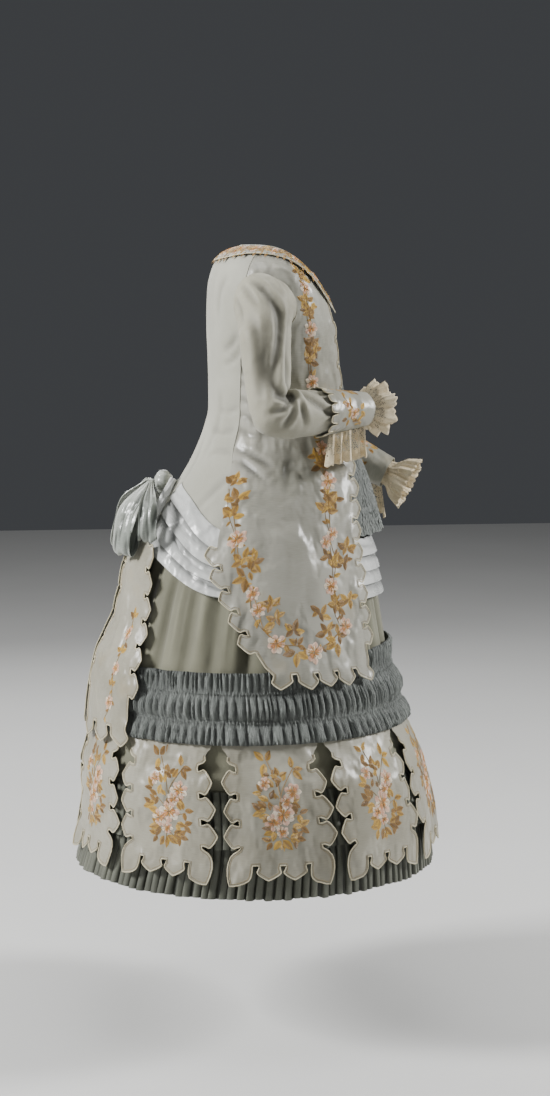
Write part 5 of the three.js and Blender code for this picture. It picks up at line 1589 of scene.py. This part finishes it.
SASH_LEVELS = [row[0] for row in SASH_ROWS]
SASH_LOBE, SASH_DROP, SASH_FOOT_LOBES = 18, 28, 3
SASH_STEM = ((152, 690), (150.5, 640), (152.5, 590), (151, 550), (155, 520))
SASH_ROSES = ((151.5, 655), (151.5, 600), (152.5, 548))


def sash(side_name, sign):
    """A panel that hangs from the bow, with scallops at both sides and three at its foot."""
    name, count = f"sash_{side_name}", len(SASH_LEVELS) - 1
    random = np.random.default_rng(85 + (sign < 0))

    def lobes(k, edge, outwards):
        size = SASH_LOBE * random.uniform(0.92, 1.06)
        spots = []
        for t, out in SCALLOP:
            height = mix(SASH_LEVELS[k], SASH_LEVELS[k + 1], t)
            turn = float(edge(height)) + outwards * size * out / float(mm_per_degree(height))
            spots.append((turn, height))
        return spots

    low = [spot for k in range(count - 1) for spot in lobes(k, sash_from, -1)]
    high = [spot for k in range(count - 2, -1, -1) for spot in reversed(lobes(k, sash_to, 1))]
    foot = []
    for i in range(SASH_FOOT_LOBES):
        lean = {0: -0.2, SASH_FOOT_LOBES - 1: 0.2}.get(i, 0)
        for t, out in SCALLOP:
            turn = mix(141, 172, (i + t + lean * out) / SASH_FOOT_LOBES)
            foot.append((turn, SASH_LEVELS[-1] - SASH_DROP * out))
    corner_low, corner_high = [(141.4, 545.0), (141.2, 528.0)], [(172.0, 528.0), (172.0, 545.0)]
    piped = low + corner_low + foot + corner_high + high
    top = [(mix(173, 154, s), 790.0) for s in np.linspace(0.1, 0.9, 7)]
    outline = np.array(piped + top, float)
    ripple_at = random.uniform(0, 6)

    def surface(turn, height, lift):
        position = np.mod(sign * turn, 360)
        share = (position - sash_from(height)) / (sash_to(height) - sash_from(height))
        fold = 1.8 * np.sin(share * 8 + height / 90 + ripple_at) * smooth(height, 780, 700)
        fold = fold * smooth(height, 500, 620)
        seam = -0.8 * np.exp(-(((share - 0.5) / 0.03) ** 2))
        return off_form(turn, height, sash_rise(height) + fold + seam + lift)

    spots, faces = patch(outline, PLAIN_SPACING)
    laid(name, spots * [sign, 1], faces, surface, 157, TAB_SATIN, "satin", sign)
    trim = Trim(surface, sign)
    trim.piping(outline, slice(len(piped)), sign)
    line = [(sign * t, h) for t, h in through(SASH_STEM, 40)]
    trim.stem(line)
    trim.trail(line, 15, 11, random)
    for turn, height in SASH_ROSES:
        trim.rose((sign * turn, height), 12, random)
        trim.sprig((sign * turn, height + 24), (-60, 0, 60), 14, random)
    trim.finish(name)


ROLL_RINGS, ROLL_RADIUS, ROLL_RISE = 44, 6.5, 17.6
ROLL_TURNS, ROLL_HEIGHTS = (168.5, 160), (884, 801)


def drape_roll(side_name, sign):
    """The gathered end of the drape, rolled into a twisted cord of satin."""
    share = np.linspace(0, 1, ROLL_RINGS)
    turn, height = sign * mix(*ROLL_TURNS, share), mix(*ROLL_HEIGHTS, share)
    centre, above = off_form(turn, height, np.full(ROLL_RINGS, ROLL_RISE)), outward(turn, height)
    beside = unit(np.cross(unit(np.gradient(centre, axis=0)), above))
    angle = np.radians(np.arange(0, 360, 10.0))
    radius = ROLL_RADIUS * mix(0.7, 1, np.sin(np.pi * share))
    twist = angle[None, :] * 6 + share[:, None] * 18 * sign
    swell = 1 + 0.09 * np.sin(twist) + 0.04 * np.sin(angle[None, :] * 2 - share[:, None] * 30)
    ring = np.cos(angle)[None, :, None] * beside[:, None] + np.sin(angle)[None, :, None] * above[:, None]
    points = (centre[:, None] + ring * (radius[:, None] * swell)[..., None]).reshape(-1, 3)
    middles = np.stack([centre[0], centre[-1]])
    columns, count = len(angle), len(points)
    first, quads = np.arange(columns), tube_faces(ROLL_RINGS, columns)
    faces = capped(quads, first, count - columns + first, (count, count + 1))
    towards = np.concatenate([ring.reshape(-1, 3), middles - centre.mean(0)])
    round_it, along_it = np.tile(angle * ROLL_RADIUS, ROLL_RINGS), np.repeat(share * 95, columns)
    flat = np.concatenate([cut_place(round_it, along_it), np.zeros((2, 3))])
    points = np.concatenate([points, middles])
    cloth(f"drape_roll_{side_name}", points, faces, towards, BRIGHT_SATIN, "bright_satin", flat)


# name, degrees that it fans out, how far it is moved sideways, its size, and how far behind the knot it is
BOW_LOOPS = (
    ("bow_loop_centre", 0, 0, 1, 0),
    ("bow_loop_right", 34, 27, 0.96, 5),
    ("bow_loop_left", -34, -27, 0.96, 5),
    ("bow_loop_far_right", 74, 67, 0.72, 9),
    ("bow_loop_far_left", -74, -67, 0.72, 9),
)
# A loop seen from its side: how far out from the knot, and up
LOOP_OUTLINE = (
    (6, 2), (27, -11), (48, -31), (61, -58), (68, -88), (67, -106), (59, -112), (51, -104), (44, -84), (35, -60),
    (24, -36), (10, -16),
)
BOW_Y, BOW_HEIGHT, BOW_WIDTH, RIBBON_LENGTH = 193, 884, 40, 260


def bow_loop(name, fan, shift, size, behind):
    """A ribbon that leaves the knot in creases, swells backwards and returns under itself."""
    random = np.random.default_rng(sum(map(ord, name)))
    c, s = math.cos(math.radians(fan)), math.sin(math.radians(fan))
    out, beside = np.array([-s, c, 0]), np.array([-c, -s, 0])
    corners = np.array(LOOP_OUTLINE, float) * size
    closed = np.concatenate([corners[-1:], corners, corners[:2]])
    line = through(closed, (len(closed) - 1) * 10 + 1)[10 : 10 + len(corners) * 10]
    columns, rows = len(line), 17
    spread = smooth(line[:, 0], 6, 44)
    inwards = unit(line.mean(0) - line)
    half = np.linspace(-0.5, 0.5, rows)
    width = BOW_WIDTH * size * mix(0.3, 1, spread)
    phase = random.uniform(0, 6, 3)
    fans = np.abs(np.sin(half[None, :] * 8 + phase[0])) ** 0.6 * 5.4
    fans = fans + 0.8 * np.sin(half[None, :] * 29 + phase[1])
    crease = (1 - 0.3 * spread)[:, None] * fans
    length = np.arange(columns) / columns
    crumple = spread[:, None] * 2.8 * np.sin(8 * np.pi * length[:, None] + half[None, :] * 7 + phase[2])
    bowed = -2.2 * (2 * half[None, :]) ** 2 * spread[:, None]
    relief = crease + crumple * np.abs(2 * half[None, :]) ** 0.5
    # Painted shade in the ribbon's creases.
    fold_darkening = (relief.mean() - 0.4 - relief) / 2.2
    inset = -(relief + bowed) * 0.8
    flat_line = line[:, None] + inwards[:, None] * inset[..., None]
    knot = np.full(columns, BOW_Y + behind), np.full(columns, BOW_HEIGHT)
    base = np.stack([-shift * mix(0.5, 1, spread), *knot], -1)
    points = base[:, None] + flat_line[..., :1] * out + (half[None, :] * width[:, None])[..., None] * beside
    points[..., 2] += flat_line[..., 1]
    towards = points.reshape(-1, 3) - points.mean((0, 1))
    flat = cut_place(np.tile(half * 40, columns), np.repeat(length * RIBBON_LENGTH, rows))
    faces = grid_faces(columns, rows, True)
    cloth(name, points.reshape(-1, 3), faces, towards, BOW_SATIN, "bow_satin", flat, 1.1, sharp=75, hollow=fold_darkening)


# height, half across, half deep
KNOT_RINGS = ((866, 7, 7), (872, 12, 12.5), (884, 15, 16.5), (896, 12, 13), (903, 6, 7))
KNOT_Y, KNOT_FOOT, KNOT_TOP = 181, 866, 903


def bow_knot():
    """The drawn-up middle of the bow, with creases that run round it."""
    across, deep = along(KNOT_RINGS, 1), along(KNOT_RINGS, 2)
    heights = np.linspace(KNOT_FOOT, KNOT_TOP, 26)
    angles = np.radians(np.arange(0, 360, 7.5))
    angle, height = np.meshgrid(angles, heights, indexing="ij")
    crease = 1 - 0.07 * np.abs(np.sin(height / 2.9 + np.sin(angle * 2) * 1.4)) ** 0.6
    x, y = across(height) * np.cos(angle) * crease, KNOT_Y + deep(height) * np.sin(angle) * crease
    points = np.stack([x, y, height], -1).reshape(-1, 3)
    count, rows = len(points), len(heights)
    first = np.arange(len(angles)) * rows
    quads = grid_faces(len(angles), rows, True)
    faces = capped(quads, first, first + rows - 1, (count, count + 1))
    points = np.concatenate([points, [[0, KNOT_Y, KNOT_FOOT - 0.5], [0, KNOT_Y, KNOT_TOP + 0.6]]])
    flat = np.concatenate([cut_place((angle * 15).ravel(), height.ravel()), np.zeros((2, 3))])
    towards = points - [0, KNOT_Y, BOW_HEIGHT]
    cloth("bow_knot", points, faces, towards, BOW_SATIN, "bow_satin", flat, thickness=1.1)


# ---------------------------------------------------------------- the whole gown

skirt()
gathered_band()
for frill in FLOUNCES:
    flounce(*frill)
for one_side in SIDES:
    for tab_index in range(len(TAB_TURNS)):
        skirt_tab(*one_side, tab_index)
    for build in (side_panel, sash, drape_roll):
        build(*one_side)
    for build in (sleeve, cuff, wrist_frill, under_frill):
        build(Arm(*one_side))
bodice_back()
gathered_front()
hip_drape()
collar()
for loop in BOW_LOOPS:
    bow_loop(*loop)
bow_knot()

# ---------------------------------------------------------------- floor, light and camera


FLOOR_REACH = 7.0  # metres, as everything of the studio
AIM = (0, 0, -0.4)
CAMERA_PLACE, CAMERA_PITCH, CAMERA_TURN, CAMERA_LENS = (-3.573, 0.439, -0.013), 82.91, -97, 73.4
# name, place, size and power
LAMPS = (
    ("rear key", (-0.55, 3.5, 1.4), 1.0, 300),
    ("front key", (-0.3, -3.5, 1.4), 1.0, 230),
    ("fill", (-3.6, 0.4, 0.9), 2.2, 5),
    ("top", (-0.4, 0.2, 2.6), 1.8, 38),
    ("far side", (2.8, 0.6, 0.9), 2.2, 34),
)


def studio():
    """A pale floor, soft lights, a dim world and the camera."""
    paint = Paint("floor", Roughness=0.8, Specular_IOR_Level=0.2)
    dust = paint.noise(paint.place(), 1.5, detail=3)
    paint.feed(Base_Color=paint.blend(dust, linear(196, 196, 194), linear(206, 206, 204)))
    mesh = bpy.data.meshes.new("floor")
    level = -SHOULDER_HEIGHT / 1000
    corners = [(x * FLOOR_REACH, y * FLOOR_REACH, level) for x, y in ((-1, -1), (1, -1), (1, 1), (-1, 1))]
    mesh.from_pydata(corners, [], [(0, 1, 2, 3)])
    mesh.materials.append(paint.material)
    floor = bpy.data.objects.new("floor", mesh)
    bpy.context.scene.collection.objects.link(floor)
    for name, place, size, power in LAMPS:
        lamp = bpy.data.lights.new(name, "AREA")
        lamp.size, lamp.energy = size, power
        light = bpy.data.objects.new(name, lamp)
        light.location = place
        light.rotation_euler = (Vector(AIM) - Vector(place)).to_track_quat("-Z", "Y").to_euler()
        bpy.context.scene.collection.objects.link(light)
    world = bpy.data.worlds.new("studio")
    world.use_nodes = True
    background = world.node_tree.nodes["Background"]
    background.inputs[0].default_value = linear(176, 180, 186)
    background.inputs[1].default_value = 0.12
    bpy.context.scene.world = world
    lens = bpy.data.cameras.new("camera")
    lens.lens, lens.sensor_width = CAMERA_LENS, 36
    camera = bpy.data.objects.new("camera", lens)
    camera.location = CAMERA_PLACE
    camera.rotation_euler = (math.radians(CAMERA_PITCH), 0, math.radians(CAMERA_TURN))
    bpy.context.scene.collection.objects.link(camera)
    bpy.context.scene.camera = camera


studio()
